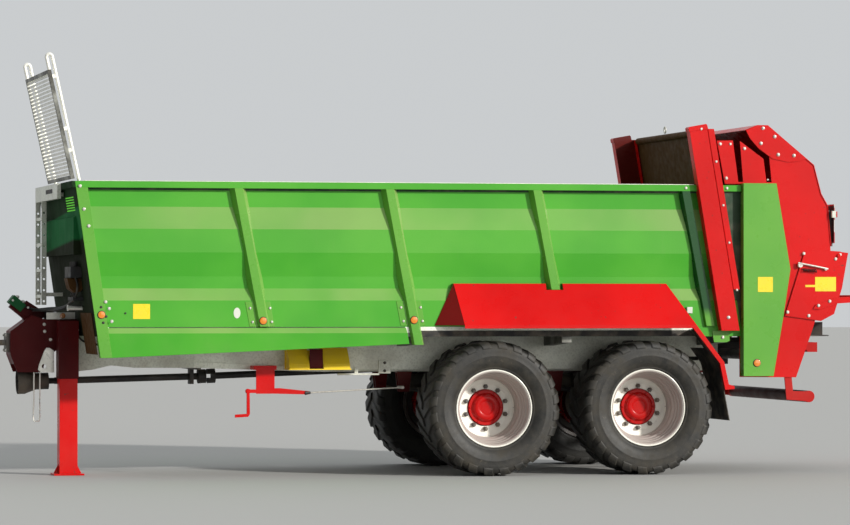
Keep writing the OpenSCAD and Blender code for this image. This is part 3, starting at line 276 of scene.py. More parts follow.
def striped(name):
    """White board with broad red stripes that run outwards and down."""
    g = Graph(name)
    stripes_per_metre = 5.0
    run = g.math("ADD", g.math("ABSOLUTE", g.y, clamp=False), g.z, clamp=False)
    wave = g.math("FRACT", g.math("MULTIPLY", run, stripes_per_metre, clamp=False), clamp=False)
    tone = g.mix(g.math("GREATER_THAN", wave, 0.5), (0.72, 0.72, 0.7), (0.55, 0.02, 0.015))
    tone = g.mix(g.ramp(g.noise(6, 5), 0.45, 0.75, 0, 0.4), tone, DUST)
    return g.surface(tone, g.ramp(g.noise(20), 0.3, 0.7, 0.35, 0.5), g.noise(120), 0.0002, edge=0.002)


# the green enamels carry pale dust and a painted sheen of the sky on faces that look up
TRIM_GREEN = {"light": (0.118, 0.365, 0.038), "dark": (0.092, 0.33, 0.032), "dirt": 0.4, "settled_dust_and_sheen": 0.3}
BRIGHT_RED = {"light": (0.62, 0.0045, 0.0045), "dark": (0.53, 0.0035, 0.0035), "dirt": 0.12,
              "gloss": 0.13, "chips": (0.2, 0.04, 0.03)}

finish = {
    "green": painted("green enamel", (0.08, 0.385, 0.032), (0.056, 0.335, 0.025), dirt=0.4, rough=0.38,
                     coat=0.0, gloss=0.2, settled_dust_and_sheen=0.3),
    "trim_green": painted("green frame enamel", **TRIM_GREEN),
    # painted shadow of the gate post on the last stake
    "stake_green": painted("stake enamel with painted shadow", **TRIM_GREEN, post_shadow_from=1.93),
    "dark_green": painted("dark green enamel", (0.014, 0.13, 0.038), (0.008, 0.08, 0.025), dirt=0.2,
                          rough=0.55, coat=0.0, gloss=0.12),
    # painted shade: the front wall is a darker copy of the green, darker again under 1.83 m and over 2.05 m
    "wall_green": painted("shaded green enamel", (0.02, 0.165, 0.052), (0.014, 0.12, 0.038), dirt=0.2,
                          rough=0.75, coat=0.0, gloss=0.04, shade_band=(1.83, 2.05)),
    "red": painted("red enamel", **BRIGHT_RED),
    # painted shade on the fenders' faces that look to the front
    "fender_red": painted("fender enamel", **BRIGHT_RED, front_shade=0.65),
    "worn_red": painted("red enamel of the rear unit", **BRIGHT_RED, inner_soil_and_shade=0.85),
    # dark brown on the underrun tube except near its ends
    "tube_red": painted("red enamel of the underrun", (0.46, 0.0045, 0.0045), (0.38, 0.0035, 0.0035),
                        dirt=0.2, rough=0.5, coat=0.0, gloss=0.15, dark_within=0.985),
    # painted shade on the hubs' faces that look to the middle plane
    "hub_red": painted("hub enamel", (0.48, 0.003, 0.003), (0.32, 0.003, 0.003), dirt=0.1, rough=0.26,
                       coat=0.03, gloss=0.16, chips=(0.12, 0.02, 0.02), inner_soil_and_shade=0.9),
    # painted shade: a dark copy of the red enamel
    "shaded_red": painted("shaded red enamel", (0.12, 0.005, 0.006), (0.062, 0.003, 0.004), dirt=0.2,
                        rough=0.45, coat=0.0, gloss=0.12, chips=(0.05, 0.02, 0.015)),
    # painted shade on the rims' faces that look to the middle plane
    "rim": painted("rim enamel", (0.93, 0.91, 0.83), (0.84, 0.82, 0.74), dirt=0.3, rough=0.34, gloss=0.4,
                   inner_soil_and_shade=0.9),
    # painted shade: a darker copy of the rim enamel for the stepped barrel
    "barrel": painted("rim barrel enamel with painted shade", (0.48, 0.43, 0.4), (0.38, 0.33, 0.31), dirt=0.4, rough=0.34,
                      gloss=0.4, inner_soil_and_shade=0.9),
    "galvanised": galvanised("galvanised steel"),
    # painted shade: galvanised steel made near black
    "shaded_zinc": galvanised("shaded zinc", (0.07, 0.07, 0.06), (0.04, 0.04, 0.035), dirt=0.5),
    "slats": galvanised("bright galvanised wire", (0.94, 0.93, 0.86), (0.86, 0.85, 0.79), dirt=0.2,
                        rough=0.3, metallic=0.3),
    "bolt": galvanised("zinc fasteners", (0.66, 0.63, 0.58), (0.5, 0.47, 0.43), dirt=0.3, rough=0.36,
                       metallic=0.4),
    "black": dark_steel("black paint", (0.016, 0.016, 0.017), rust=0.06, metallic=0.0, dust=0.4),
    "shaft": dark_steel("black shaft paint", (0.008, 0.008, 0.009), rust=0.05, metallic=0.0, dust=0.15),
    "steel": dark_steel("worn steel", base=(0.14, 0.135, 0.13), metallic=0.6),
    "soiled": dark_steel("soiled plate", base=(0.078, 0.036, 0.011), rust=0.6, metallic=0.0,
                         dust=0.05, rust_tone=(0.115, 0.06, 0.025), gloss=0.08),
    "tyre": tyre_rubber("tyre rubber"),
    "rubber": plastic("black rubber", (0.01, 0.01, 0.01), rough=0.65, dirt=0.3),
    "lamp": plastic("red lens", (0.42, 0.012, 0.01), rough=0.12, dirt=0.1, coat=0.6),
    "orange": plastic("orange lens", (0.72, 0.22, 0.015), rough=0.15, dirt=0.1, coat=0.6),
    "board": striped("striped board"),
    "yellow": plastic("yellow plastic", (0.95, 0.66, 0.015), rough=0.4, dirt=0.08),
    # painted shade, for strips and sheets laid where shade falls
    "shade": plastic("dark green painted shade", (0.006, 0.035, 0.01), rough=0.6, dirt=0.2),
    "white": plastic("white plastic", (0.66, 0.68, 0.6), rough=0.35, dirt=0.12),
    "label": plastic("yellow film", (0.84, 0.64, 0.012), rough=0.3, dirt=0.1),
}

FRONT_AXLE_X = 0.38
REAR_AXLE_X = 1.64
# axle and side of each wheel
CORNERS = {"front_left": (FRONT_AXLE_X, -1), "front_right": (FRONT_AXLE_X, 1),
           "rear_left": (REAR_AXLE_X, -1), "rear_right": (REAR_AXLE_X, 1)}


def wheel_nodes(kind):
    return " ".join(kind + "_" + corner for corner in CORNERS)


# nodes of the part that have each look
NODES_OF = {
    "galvanised": "frame_rails drawbar floor ladder", "shaded_zinc": "cross_members",
    "slats": "front_guard", "steel": "towing_eye floor_chains chain_shafts", "soiled": "gate_panel",
    "black": "drive_guard disc_gearbox disc_left disc_right axles springs",
    "shaft": "front_shaft rear_shaft", "green": "side_walls", "stake_green": "stakes",
    "trim_green": "chain_cover", "wall_green": "front_wall", "fender_red": "fenders",
    "red": "jack_leg beater_lower beater_upper rear_flap light_bar park_brake",
    "shaded_red": "hitch_head jack_sleeve hangers", "worn_red": "gate_posts side_plates hood",
    "tube_red": "rear_tube", "rubber": "mudflaps", "lamp": "tail_lamps", "board": "warning_boards",
    "yellow": "wheel_chocks", "tyre": wheel_nodes("tyre"), "rim": wheel_nodes("rim"),
    "hub_red": wheel_nodes("hub"),
}
for look, names in NODES_OF.items():
    for name in names.split():
        mesh = nodes[name].data
        if not mesh.materials:
            mesh.materials.append(finish[look])
        for slot in nodes[name].material_slots:
            slot.material = finish[look]


# Mesh building

def circle(centre, axis, radius, sides, start=0.0):
    """Points round a centre, in the plane across the axis."""
    turn = Vector(axis).to_track_quat("Z", "Y").to_matrix()
    return [Vector(centre) + turn @ Vector((radius * math.cos(start + k * math.tau / sides),
                                            radius * math.sin(start + k * math.tau / sides), 0))
            for k in range(sides)]


def smooth_path(points, steps=6):
    """A curve through the points, with its ends as given."""
    pts = [Vector(p) for p in points]
    ends = [2 * pts[0] - pts[1]] + pts + [2 * pts[-1] - pts[-2]]
    out = []
    for a, b, c, d in zip(ends, ends[1:], ends[2:], ends[3:]):
        for k in range(steps):
            t = k / steps
            out.append(0.5 * (2 * b + (c - a) * t + (2 * a - 5 * b + 4 * c - d) * t * t
                              + (3 * b - a - 3 * c + d) * t ** 3))
    return out + [pts[-1]]


WASHER_T = 0.003
# radius of the bolts' heads over their corners, named by the thread, and the usual one
HEAD_6, HEAD_8, HEAD_10, HEAD_12, HEAD_14 = 0.0064, 0.008, 0.0096, 0.0104, 0.0112
HEAD_SIZE = 0.0105
SIDES = (-1, 1)


class Piece:
    """Solids of one finish that ride on one body, joined into one mesh."""

    def __init__(self, name, look, body="chassis", bevel=0.0015, sharp=38):
        self.name, self.look, self.body = name, look, body
        self.bevel, self.sharp = bevel, math.radians(sharp)
        self.mesh = bmesh.new()

    def loft(self, rings, caps=True, closed=False):
        """Faces between rings of as many points; caps close the two ends."""
        made = [[self.mesh.verts.new(p) for p in ring] for ring in rings]
        pairs = list(zip(made, made[1:])) + ([(made[-1], made[0])] if closed else [])
        for low, high in pairs:
            for k in range(len(low)):
                j = (k + 1) % len(low)
                self.mesh.faces.new((low[k], low[j], high[j], high[k]))
        if caps and not closed:
            self.mesh.faces.new(list(reversed(made[0])))
            self.mesh.faces.new(made[-1])

    def box(self, low, high):
        (x0, y0, z0), (x1, y1, z1) = low, high
        self.loft([[(x0, y0, z), (x1, y0, z), (x1, y1, z), (x0, y1, z)] for z in (z0, z1)])

    def box_pair(self, near, far, x, z):
        """A box on each side, between two distances from the middle plane."""
        for side in SIDES:
            low, high = sorted((side * near, side * far))
            self.box((x[0], low, z[0]), (x[1], high, z[1]))

    def prism(self, outline, y0, y1):
        """An outline in X and Z, from y0 to y1."""
        self.loft([[(x, y, z) for x, z in outline] for y in (y0, y1)])

    def prism_pair(self, near, far, outline):
        """A prism on each side, between two distances from the middle plane."""
        for side in SIDES:
            self.prism(outline, *sorted((side * near, side * far)))

    def rod(self, start, end, radius, end_radius=None, sides=20):
        axis = Vector(end) - Vector(start)
        self.loft([circle(start, axis, radius, sides), circle(end, axis, end_radius or radius, sides)])

    def tube(self, points, radius, sides=10, smooth=True):
        path = smooth_path(points) if smooth else [Vector(p) for p in points]
        rings = []
        for k, at in enumerate(path):
            before, after = path[max(k - 1, 0)], path[min(k + 1, len(path) - 1)]
            rings.append(circle(at, after - before, radius, sides))
        self.loft(rings)

    def lathe(self, centre, axis, profile, sides=48):
        """A closed profile of (radius, distance along the axis), turned round the axis."""
        axis = Vector(axis).normalized()
        rings = [[Vector(centre) + out * r + axis * a for r, a in profile]
                 for out in circle((0, 0, 0), axis, 1.0, sides)]
        self.loft(rings, caps=False, closed=True)

    def bolt(self, at, axis, size):
        """A washer and a hexagon head that stand out along the axis."""
        at, axis = Vector(at), Vector(axis).normalized()
        foot = at + axis * WASHER_T
        top = foot + axis * (size * 0.7)
        self.rod(at - axis * 0.001, foot, size * 1.25, sides=16)
        self.loft([circle(foot, axis, size, 6), circle(top - axis * 0.001, axis, size, 6),
                   circle(top, axis, size * 0.86, 6)])

    def bolt_pairs(self, y, spots, size):
        """Bolts at (X, Z) places on each side, on a face at a distance from the middle plane."""
        for side in SIDES:
            for x, z in spots:
                self.bolt((x, side * y, z), (0, side, 0), size)

    def pierced(self, outline, hole, radius, y0, y1):
        """An outline in X and Z, from y0 to y1, with a round hole; all of it is seen from the hole."""
        angles = {k * math.tau / 24 for k in range(24)}
        angles |= {math.atan2(z - hole[1], x - hole[0]) % math.tau for x, z in outline}
        rim, edge = [], []
        for angle in sorted(angles):
            ray = Vector((math.cos(angle), math.sin(angle)))
            hits = []
            for a, b in zip(outline, outline[1:] + outline[:1]):
                side = Vector(b) - Vector(a)
                cross = ray.x * side.y - ray.y * side.x
                if abs(cross) > 1e-12:
                    gap = Vector(a) - Vector(hole)
                    along = (gap.x * side.y - gap.y * side.x) / cross
                    share = (gap.x * ray.y - gap.y * ray.x) / cross
                    if along > 0 and -1e-6 <= share <= 1 + 1e-6:
                        hits.append(along)
            edge.append(Vector(hole) + ray * min(hits))
            rim.append(Vector(hole) + ray * radius)
        rings = []
        for outer, inner in zip(edge, rim):
            rings.append([(outer.x, y0, outer.y), (outer.x, y1, outer.y), (inner.x, y1, inner.y),
                          (inner.x, y0, inner.y)])
        self.loft(rings, caps=False, closed=True)

    def done(self, replaces=None):
        bmesh.ops.recalc_face_normals(self.mesh, faces=self.mesh.faces)
        mesh = bpy.data.meshes.new(self.name)
        self.mesh.to_mesh(mesh)
        self.mesh.free()
        mesh.materials.append(finish[self.look])
        obj = bpy.data.objects.new(self.name, mesh)
        bpy.context.scene.collection.objects.link(obj)
        for face in mesh.polygons:
            face.use_smooth = True
        mesh.set_sharp_from_angle(angle=self.sharp)
        if self.bevel:
            edges = obj.modifiers.new("bevel", "BEVEL")
            edges.width = self.bevel
            edges.segments = 2
            edges.limit_method = "ANGLE"
            edges.angle_limit = self.sharp
        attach(obj, self.body)
        if replaces:
            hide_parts(replaces)


def pair(name, look, near, far, x, z, bevel=0.0):
    """A piece made of a box on each side."""
    piece = Piece(name, look, bevel=bevel)
    piece.box_pair(near, far, x, z)
    piece.done()


def bolted(name, look, rows, body="chassis"):
    """A piece of bolts on both sides: rows of the face's distance, (X, Z) places and head size."""
    piece = Piece(name, look, body, bevel=0)
    for y, spots, size in rows:
        piece.bolt_pairs(y, spots, size)
    piece.done()


# Places on the machine that the fittings stand on: distances of outer faces from the middle plane,
# heights, and the lean of the front wall, the stakes and the gate posts

WALL_Y = 1.045
FOLD = 0.03
SILL_Y = WALL_Y + FOLD
STAKE_Y = 1.105
CORNER_Y = 1.111
POST_Y = 1.137
POST_RIM_Y = 1.165
PLATE_Y = 1.053
COVER_Y = 1.152
WALL_LOW_Z = 1.178
RAIL_TOP_Z = 2.312
FRONT_X = -2.775
FRONT_TAN = math.tan(math.radians(8.3))
STAKE_TAN = math.tan(math.radians(10.7))
POST_X = 2.261
POST_TAN = math.tan(math.radians(9.46))
FILM_T = 0.0012
FOOT_PLATE_T = 0.003


def front_x(z):
    """X of the front wall's outer face at a height."""
    return FRONT_X - (z - WALL_LOW_Z) * FRONT_TAN


def post_x(z):
    """X of the gate posts' front edge at a height."""
    return POST_X - (z - WALL_LOW_Z) * POST_TAN


# Box body: rail strips, bolts, reflectors and blank labels

pair("rail_strips", "galvanised", 1.042, 1.104, (-2.86, 2.055), (RAIL_TOP_Z, RAIL_TOP_Z + 0.005), 0.0015)
# painted shadow of the top rails: a dark green strip on the wall just under them
pair("rail_shadow_strips", "shade", WALL_Y, WALL_Y + 0.004, (-2.84, 2.09), (2.246, 2.262))
pair("rear_sill_skins", "green", SILL_Y, SILL_Y + 0.003, (2.07, 2.454), (1.098, 1.1785))

CORNER_BOLTS = [(-2.896, 2.272), (-2.865, 2.094), (-2.828, 1.963), (-2.696, 1.375), (-2.668, 1.323),
                (-2.648, 1.223)]
EDGE_BOLTS = [(2.123, 1.406), (2.14, 1.333), (2.156, 1.226), (2.166, 1.19)]
POST_BOLTS = [(post_x(z) + 0.19, z) for z in (1.47, 1.85, 2.15, 2.5)]
bolted("body_bolts", "bolt", [
    (CORNER_Y, CORNER_BOLTS, HEAD_SIZE), (SILL_Y, EDGE_BOLTS, HEAD_8),
    (SILL_Y + 0.01, [(2.3, 1.09)], HEAD_SIZE), (STAKE_Y, [(2.33, 2.287), (1.987, 2.287)], HEAD_10),
    (POST_Y, POST_BOLTS, HEAD_8), (POST_RIM_Y, [(post_x(2.76) + 0.1, 2.76)], HEAD_10),
    (POST_RIM_Y, [(post_x(1.25) + 0.075, 1.25)], HEAD_14)])
bolted("plug_screws", "black", [
    (CORNER_Y, [(-2.73, 1.335), (-2.69, 1.262), (-2.713, 1.214)], HEAD_8),
    (SILL_Y, [(-2.536, 1.287)], HEAD_6)])

# centres of the round orange reflectors: X, distance from the middle plane, Z
REFLECTORS = [(-2.728, CORNER_Y, 1.275), (-1.455, STAKE_Y, 1.227), (-0.246, STAKE_Y, 1.232)]
REAR_REFLECTOR_Y = {-1: COVER_Y, 1: PLATE_Y}
reflectors = Piece("side_reflectors", "orange", bevel=0)
backs = Piece("reflector_backs", "black", bevel=0)
for side in SIDES:
    out = Vector((0, side, 0))
    for x, y, z in REFLECTORS + [(2.566, REAR_REFLECTOR_Y[side], 0.884)]:
        at = Vector((x, side * y, z))
        backs.rod(at - out * 0.001, at + out * 0.005, 0.033, 0.031, sides=28)
        reflectors.loft([circle(at + out * 0.004, out, 0.028, 28), circle(at + out * 0.009, out, 0.027, 28),
                         circle(at + out * 0.011, out, 0.02, 28)])
reflectors.done()
backs.done()

# plates and bolts round the feet of the stakes, from the middles of their reflectors
FOOT_OUTLINE = [(-0.11, -0.046), (0.088, -0.046), (0.088, 0.15), (-0.11, 0.15)]
FOOT_BOLTS = [(-0.099, 0.099), (0.059, 0.099), (-0.079, -0.009), (0.074, -0.009)]
foot_plates = Piece("stake_foot_plates", "trim_green", bevel=0.001)
foot_bolts = Piece("stake_foot_bolts", "bolt", bevel=0)
for x, y, z in REFLECTORS[1:]:
    foot_plates.prism_pair(SILL_Y, SILL_Y + FOOT_PLATE_T,
                           [(x + dx - dz * STAKE_TAN, z + dz) for dx, dz in FOOT_OUTLINE])
    foot_bolts.bolt_pairs(SILL_Y + FOOT_PLATE_T, [(x + dx, z + dz) for dx, dz in FOOT_BOLTS], HEAD_8)
foot_plates.done()
foot_bolts.done()

labels = Piece("blank_labels", "label", bevel=0.0004)
labels.box_pair(SILL_Y, SILL_Y + FILM_T, (-2.476, -2.343), (1.242, 1.359))
labels.box((2.574, -COVER_Y - FILM_T, 1.454), (2.7, -COVER_Y, 1.575))
labels.done()

OVAL_STEPS = 28
oval = [(-1.657 + 0.027 * math.cos(k * math.tau / OVAL_STEPS),
         1.288 + 0.042 * math.sin(k * math.tau / OVAL_STEPS)) for k in range(OVAL_STEPS)]
white_plate = Piece("blank_plate", "white", bevel=0.0004)
white_plate.prism(oval, -SILL_Y - 0.0015, -SILL_Y)
white_plate.done()

pair("side_markers", "white", SILL_Y, SILL_Y + 0.03, (1.996, 2.042), (1.283, 1.334), 0.003)


# Front: painted slot shade, hose holder, fittings of the hitch head, valves, grid guard's edges and hoses

# painted shade: a black strip where the box's slot is
slot_shade = Piece("step_box_slot_shade", "black", bevel=0)
slot_shade.box((-2.9922, -0.18, 2.24), (-2.9905, 0.22, 2.274))
slot_shade.done()

arm_dir = Vector((-0.123, 0, 0.104)).normalized()
arm_up = Vector((arm_dir.z, 0, -arm_dir.x))
block_mid = Vector((-3.255, 0, 1.362))
block_corners = [block_mid + arm_dir * a + arm_up * b
                 for a, b in ((-0.062, -0.036), (0.062, -0.036), (0.062, 0.036), (-0.062, 0.036))]
hose_holder = Piece("hose_holder", "dark_green")
hose_holder.prism([(p.x, p.z) for p in block_corners], -0.075, 0.075)
hose_holder.done()

couplings = Piece("hose_couplings", "bolt", bevel=0.0008)
for y in (-0.048, 0.0, 0.048):
    for along in (-0.03, 0.03):
        at = block_mid + arm_dir * along + arm_up * 0.035 + Vector((0, y, 0))
        couplings.rod(at, at + arm_up * 0.014, 0.013, sides=18)
        couplings.rod(at + arm_up * 0.014, at + arm_up * 0.02, 0.009, sides=18)
for x, z in ((-3.292, 1.388), (-3.17, 1.33)):
    couplings.bolt((x, -0.075, z), (0, -1, 0), HEAD_8)
couplings.done()

HITCH_HEAD_Y = 0.15
head_bolts = Piece("head_bolts", "bolt", bevel=0)
head_bolts.bolt_pairs(HITCH_HEAD_Y, [(-3.05, 1.196), (-3.047, 1.14), (-3.0, 1.075)], HEAD_12)
for y in (-0.075, 0.075):
    for z in (0.99, 1.11):
        head_bolts.bolt((-3.344, y, z), (-1, 0, 0), HEAD_14)
for y in (-0.285, -0.215):
    head_bolts.bolt((-2.798, y, 1.15), (1, 0, 0), HEAD_8)
head_bolts.done()

LUG_OUTLINE = [(-3.102, 0.835), (-3.092, 0.878), (-3.052, 0.985), (-3.034, 1.01), (-3.008, 1.008),
               (-2.974, 0.985), (-2.972, 0.812), (-3.08, 0.815)]
lug = Piece("chain_lug", "slats")
lug.pierced(LUG_OUTLINE, (-3.052, 0.862), 0.019, -0.166, -HITCH_HEAD_Y)
lug.done()

badge_plate = Piece("head_plate", "slats")
badge_plate.box((-3.035, -0.168, 1.2365), (-2.806, -0.156, 1.292))
badge_plate.rod((-2.905, -0.52, 1.327), (-2.782, -0.52, 1.327), 0.017)
badge_plate.rod((-2.917, -0.52, 1.327), (-2.905, -0.52, 1.327), 0.024)
badge_plate.done()
badge = Piece("head_reflector", "orange", bevel=0)
badge.rod((-2.905, -0.168, 1.264), (-2.905, -0.173, 1.264), 0.022, 0.019, sides=28)
badge.done()

STAND_Y = -0.118
stand = Piece("shaft_stand", "slats", bevel=0)
stand.tube([(-3.128, STAND_Y, 0.84), (-3.13, STAND_Y, 0.6), (-3.133, STAND_Y, 0.445),
            (-3.108, STAND_Y, 0.425), (-3.084, STAND_Y, 0.445), (-3.082, STAND_Y, 0.6),
            (-3.08, STAND_Y, 0.84)], 0.006)
stand.done()

# height, and distance from the front wall's plane
APRON = [(1.289, -0.009), (1.289, -0.003), (1.106, -0.003), (0.965, -0.001), (0.965, -0.007)]
apron = Piece("front_apron", "soiled", bevel=0.001)
apron.prism_pair(0.42, 1.035, [(front_x(z) + gap, z) for z, gap in APRON])
apron.done()

bracket = Piece("valve_bracket", "soiled", bevel=0.002)
bracket.prism([(-2.94, 1.56), (-2.79, 1.56), (-2.8, 1.5), (-2.835, 1.455), (-2.88, 1.448),
               (-2.92, 1.48)], -0.7, -0.5)
bracket.done()

VALVE_X = -2.88
VALVE_YS = (-0.74, -0.66, -0.58, -0.5)
valves = Piece("valve_block", "black", bevel=0.002)
valves.box((-2.925, -0.78, 1.565), (-2.835, -0.44, 1.65))
for y in VALVE_YS:
    valves.rod((VALVE_X, y, 1.65), (VALVE_X, y, 1.69), 0.015)
valves.done()

arm_plate = Piece("hose_arm_plate", "shaded_red", bevel=0.002)
arm_plate.prism([(-3.268, 1.318), (-3.178, 1.386), (-2.997, 1.27), (-3.12, 1.205)], -0.036, -0.03)
arm_plate.done()

# dark edges of the grid guard, in its own leaning frame
GUARD_BASE = (-2.897, 2.3151)
GUARD_LEAN = math.radians(12.4)


def guard_point(x, y, z):
    return (GUARD_BASE[0] + x * math.cos(GUARD_LEAN) - z * math.sin(GUARD_LEAN), y,
            GUARD_BASE[1] + x * math.sin(GUARD_LEAN) + z * math.cos(GUARD_LEAN))


def guard_block(piece, x, y, z):
    """A block between two places along each of the guard's own axes."""
    piece.loft([[guard_point(a, b, c) for a, b in ((x[0], y[0]), (x[1], y[0]), (x[1], y[1]), (x[0], y[1]))]
                for c in z])


GUARD_FACE = (-0.0612, -0.06)
edges = Piece("guard_edges", "shaded_zinc", bevel=0)
for z in ((0.024, 0.054), (0.857, 0.887)):
    guard_block(edges, GUARD_FACE, (-1.085, 0.315), z)
for y in ((-1.085, -1.055), (0.285, 0.315)):
    guard_block(edges, GUARD_FACE, y, (0.054, 0.857))
guard_block(edges, (GUARD_FACE[0], -0.032), (-1.0862, -1.085), (0.024, 0.887))
edges.done()

# the hoses lie on a tray and run through a clamp on the front wall
tray = Piece("hose_tray", "black", bevel=0.001)
tray.box((-3.135, -0.185, 1.2995), (-2.965, 0.06, 1.3045))
tray.box((-3.035, -0.145, 1.23), (-3.02, 0.02, 1.3))
tray.box((-2.892, -0.665, 1.386), (front_x(1.4) + 0.001, -0.375, 1.412))
tray.done()

HOSE_R = 0.0095
THIN_HOSE_R = 0.008
hoses = Piece("front_hoses", "rubber", bevel=0)
for k, y in enumerate(VALVE_YS):
    start = block_mid + Vector((0.045, 0.055 - 0.036 * k, -0.02))
    hoses.tube([start, (-3.12, 0.03 - 0.03 * k, 1.315), (-2.99, -0.06 - 0.035 * k, 1.325 - 0.008 * k),
                (-2.91, -0.25 - 0.06 * k, 1.335), (-2.875, y + 0.1, 1.4), (-2.862, y + 0.02, 1.5),
                (VALVE_X, y, 1.57)], HOSE_R)
for y in (-0.1, -0.14):
    hoses.tube([(-2.83, y, 1.3), (-2.815, y, 1.22), (-2.8, y * 1.2, 1.13), (-2.74, y * 1.5, 1.06),
                (-2.62, y * 1.7, 1.03)], THIN_HOSE_R)
hoses.done()


# Gate: lifting eye

EYE_R = 0.026
EYE_WIRE_R = 0.006
EYE_ANGLES = [k * math.tau / 8 for k in range(8)]
eye = Piece("gate_eye", "bolt", body="gate", bevel=0)
eye.lathe((2.136, 0, 2.8), (1, 0, 0),
          [(EYE_R + EYE_WIRE_R * math.cos(angle), EYE_WIRE_R * math.sin(angle)) for angle in EYE_ANGLES],
          sides=28)
eye.done()


# Rear unit: bolts, flap's latch and label, lamps, beater bearings

CHEEK_T = 0.0063
CHEEK_BOLTS = [(2.649, 2.775), (2.747, 2.708), (2.631, 2.653), (2.776, 2.563), (2.91, 2.557)]
TAB_BOLTS = [(2.29, 2.645), (2.494, 2.61), (2.341, 2.37)]
TAB_PIN_R = 0.0088
bolted("rear_unit_bolts", "bolt", [
    (PLATE_Y + CHEEK_T, CHEEK_BOLTS, HEAD_14), (PLATE_Y, TAB_BOLTS, HEAD_12),
    (PLATE_Y, [(2.375, 2.645)], TAB_PIN_R), (PLATE_Y - 0.004, [(2.69, 2.23), (2.69, 2.36)], HEAD_6)])

FLAP_Y = 1.067
FLAP_BOLTS = [(2.99, 1.765), (3.297, 1.757), (3.259, 1.722), (2.852, 1.292), (3.031, 1.263)]
bolted("flap_bolts", "bolt", [
    (FLAP_Y, FLAP_BOLTS, HEAD_12), (FLAP_Y + 0.012, [(3.11, 1.345), (3.205, 1.38)], HEAD_12)], "flap")

latch = Piece("flap_latch", "bolt", body="flap", bevel=0.0008)
latch.rod((2.955, -FLAP_Y, 1.672), (2.955, -FLAP_Y - 0.022, 1.672), 0.02)
latch.rod((3.17, -FLAP_Y, 1.64), (3.17, -FLAP_Y - 0.022, 1.64), 0.012)
latch.tube([(2.935, -FLAP_Y - 0.017, 1.69), (3.03, -FLAP_Y - 0.021, 1.672),
            (3.12, -FLAP_Y - 0.021, 1.655), (3.19, -FLAP_Y - 0.017, 1.64)], 0.0075)
latch.done()
SPRING_TURNS = 9
SPRING_STEPS = 90
SPRING_R = 0.012
spring = Piece("latch_spring", "black", body="flap", bevel=0)
coil = []
for k in range(SPRING_STEPS + 1):
    share = k / SPRING_STEPS
    angle = math.tau * SPRING_TURNS * share
    coil.append((2.975 + 0.12 * share, -FLAP_Y - 0.016 + SPRING_R * math.cos(angle),
                 1.634 - 0.01 * share + SPRING_R * math.sin(angle)))
spring.tube(coil, 0.0028, sides=6, smooth=False)
spring.done()

flap_label = Piece("flap_label", "label", body="flap", bevel=0.0004)
flap_label.prism([(3.002, 1.494), (3.002, 1.512), (3.085, 1.512), (3.085, 1.576), (3.262, 1.576),
                  (3.262, 1.46), (3.085, 1.46), (3.085, 1.494)], -FLAP_Y - FILM_T, -FLAP_Y)
flap_label.done()

board_backs = Piece("board_backs", "black")
board_lamps = Piece("board_lamps", "lamp", bevel=0.002)
lamp_shells = Piece("board_lamp_shells", "white", bevel=0.002)
board_backs.prism_pair(0.985, 1.02, [(3.196, 2.105), (3.249, 2.105), (3.249, 1.825), (3.23, 1.825)])
board_backs.box_pair(0.8, 1.05, (3.244, 3.2498), (1.862, 2.153))
lamp_shells.box_pair(1.064, 1.094, (3.222, 3.254), (2.055, 2.11))
board_lamps.box_pair(1.066, 1.092, (3.254, 3.268), (2.058, 2.106))
board_backs.done()
board_lamps.done()
lamp_shells.done()

# radius and distance outwards of the bearing's housing
BEARING = [(0.031, 0.0), (0.078, 0.0), (0.078, 0.01), (0.052, 0.012), (0.045, 0.034), (0.031, 0.036)]
BEARING_BOLT_R = 0.066
bearings = Piece("beater_bearings", "black", bevel=0.002)
bearing_bolts = Piece("bearing_bolts", "bolt", bevel=0)
for x, z in ((2.665, 1.6), (2.6, 2.14)):
    bearings.lathe((x, PLATE_Y, z), (0, 1, 0), BEARING)
    bearings.rod((x, PLATE_Y + 0.002, z), (x, PLATE_Y + 0.03, z), 0.03)
    for degrees in (45, 135, 225, 315):
        across, rise = math.cos(math.radians(degrees)), math.sin(math.radians(degrees))
        bearing_bolts.bolt((x + BEARING_BOLT_R * across, PLATE_Y + 0.01, z + BEARING_BOLT_R * rise),
                           (0, 1, 0), HEAD_8)
bearings.done()
bearing_bolts.done()

lenses = Piece("lamp_lenses", "lamp", body="flap", bevel=0.002)
ambers = Piece("lamp_ambers", "orange", body="flap", bevel=0.002)
frames = Piece("lamp_frames", "black", body="flap", bevel=0.002)
for x, z in (((3.5895, 3.604), (1.345, 1.455)), ((3.604, 3.6185), (1.345, 1.3495)),
             ((3.604, 3.6185), (1.4505, 1.455))):
    frames.box_pair(0.875, 1.115, x, z)
for lens, near in ((lenses, 0.886), (lenses, 0.961), (ambers, 1.036)):
    lens.box_pair(near, near + 0.068, (3.6195, 3.6205), (1.356, 1.444))
lenses.done()
ambers.done()
frames.done()


# Painted shade of the walls' groove, sills and rear ends; rail plates, brake rod and chambers

SKIRT_END_X = -0.282
# painted shade in the groove at the foot of the walls
pair("wall_groove_shade", "shade", SILL_Y - 0.001, SILL_Y + 0.0008, (-2.665, SKIRT_END_X - 0.03), (1.1722, 1.1778))
# painted shade: black strips on the sills' lower band, where the fenders shade it
pair("sill_shadow_strips", "rubber", SILL_Y, SILL_Y + 0.0015, (SKIRT_END_X + 0.045, 2.19), (1.1005, 1.148), 0.0004)

# painted shadow of the chain cover, with the dark gap between the gate post and the cover
gap_and_shadow_outline = [(post_x(1.19) + 0.196, 1.19), (2.4545, 1.19), (2.4545, 2.264),
               (post_x(2.264) + 0.196, 2.264)]
gap_and_shadow = Piece("wall_end_gap_and_shadow", "shade", bevel=0)
gap_and_shadow.prism_pair(SILL_Y - 0.001, SILL_Y + 0.0015, gap_and_shadow_outline)
gap_and_shadow.done()

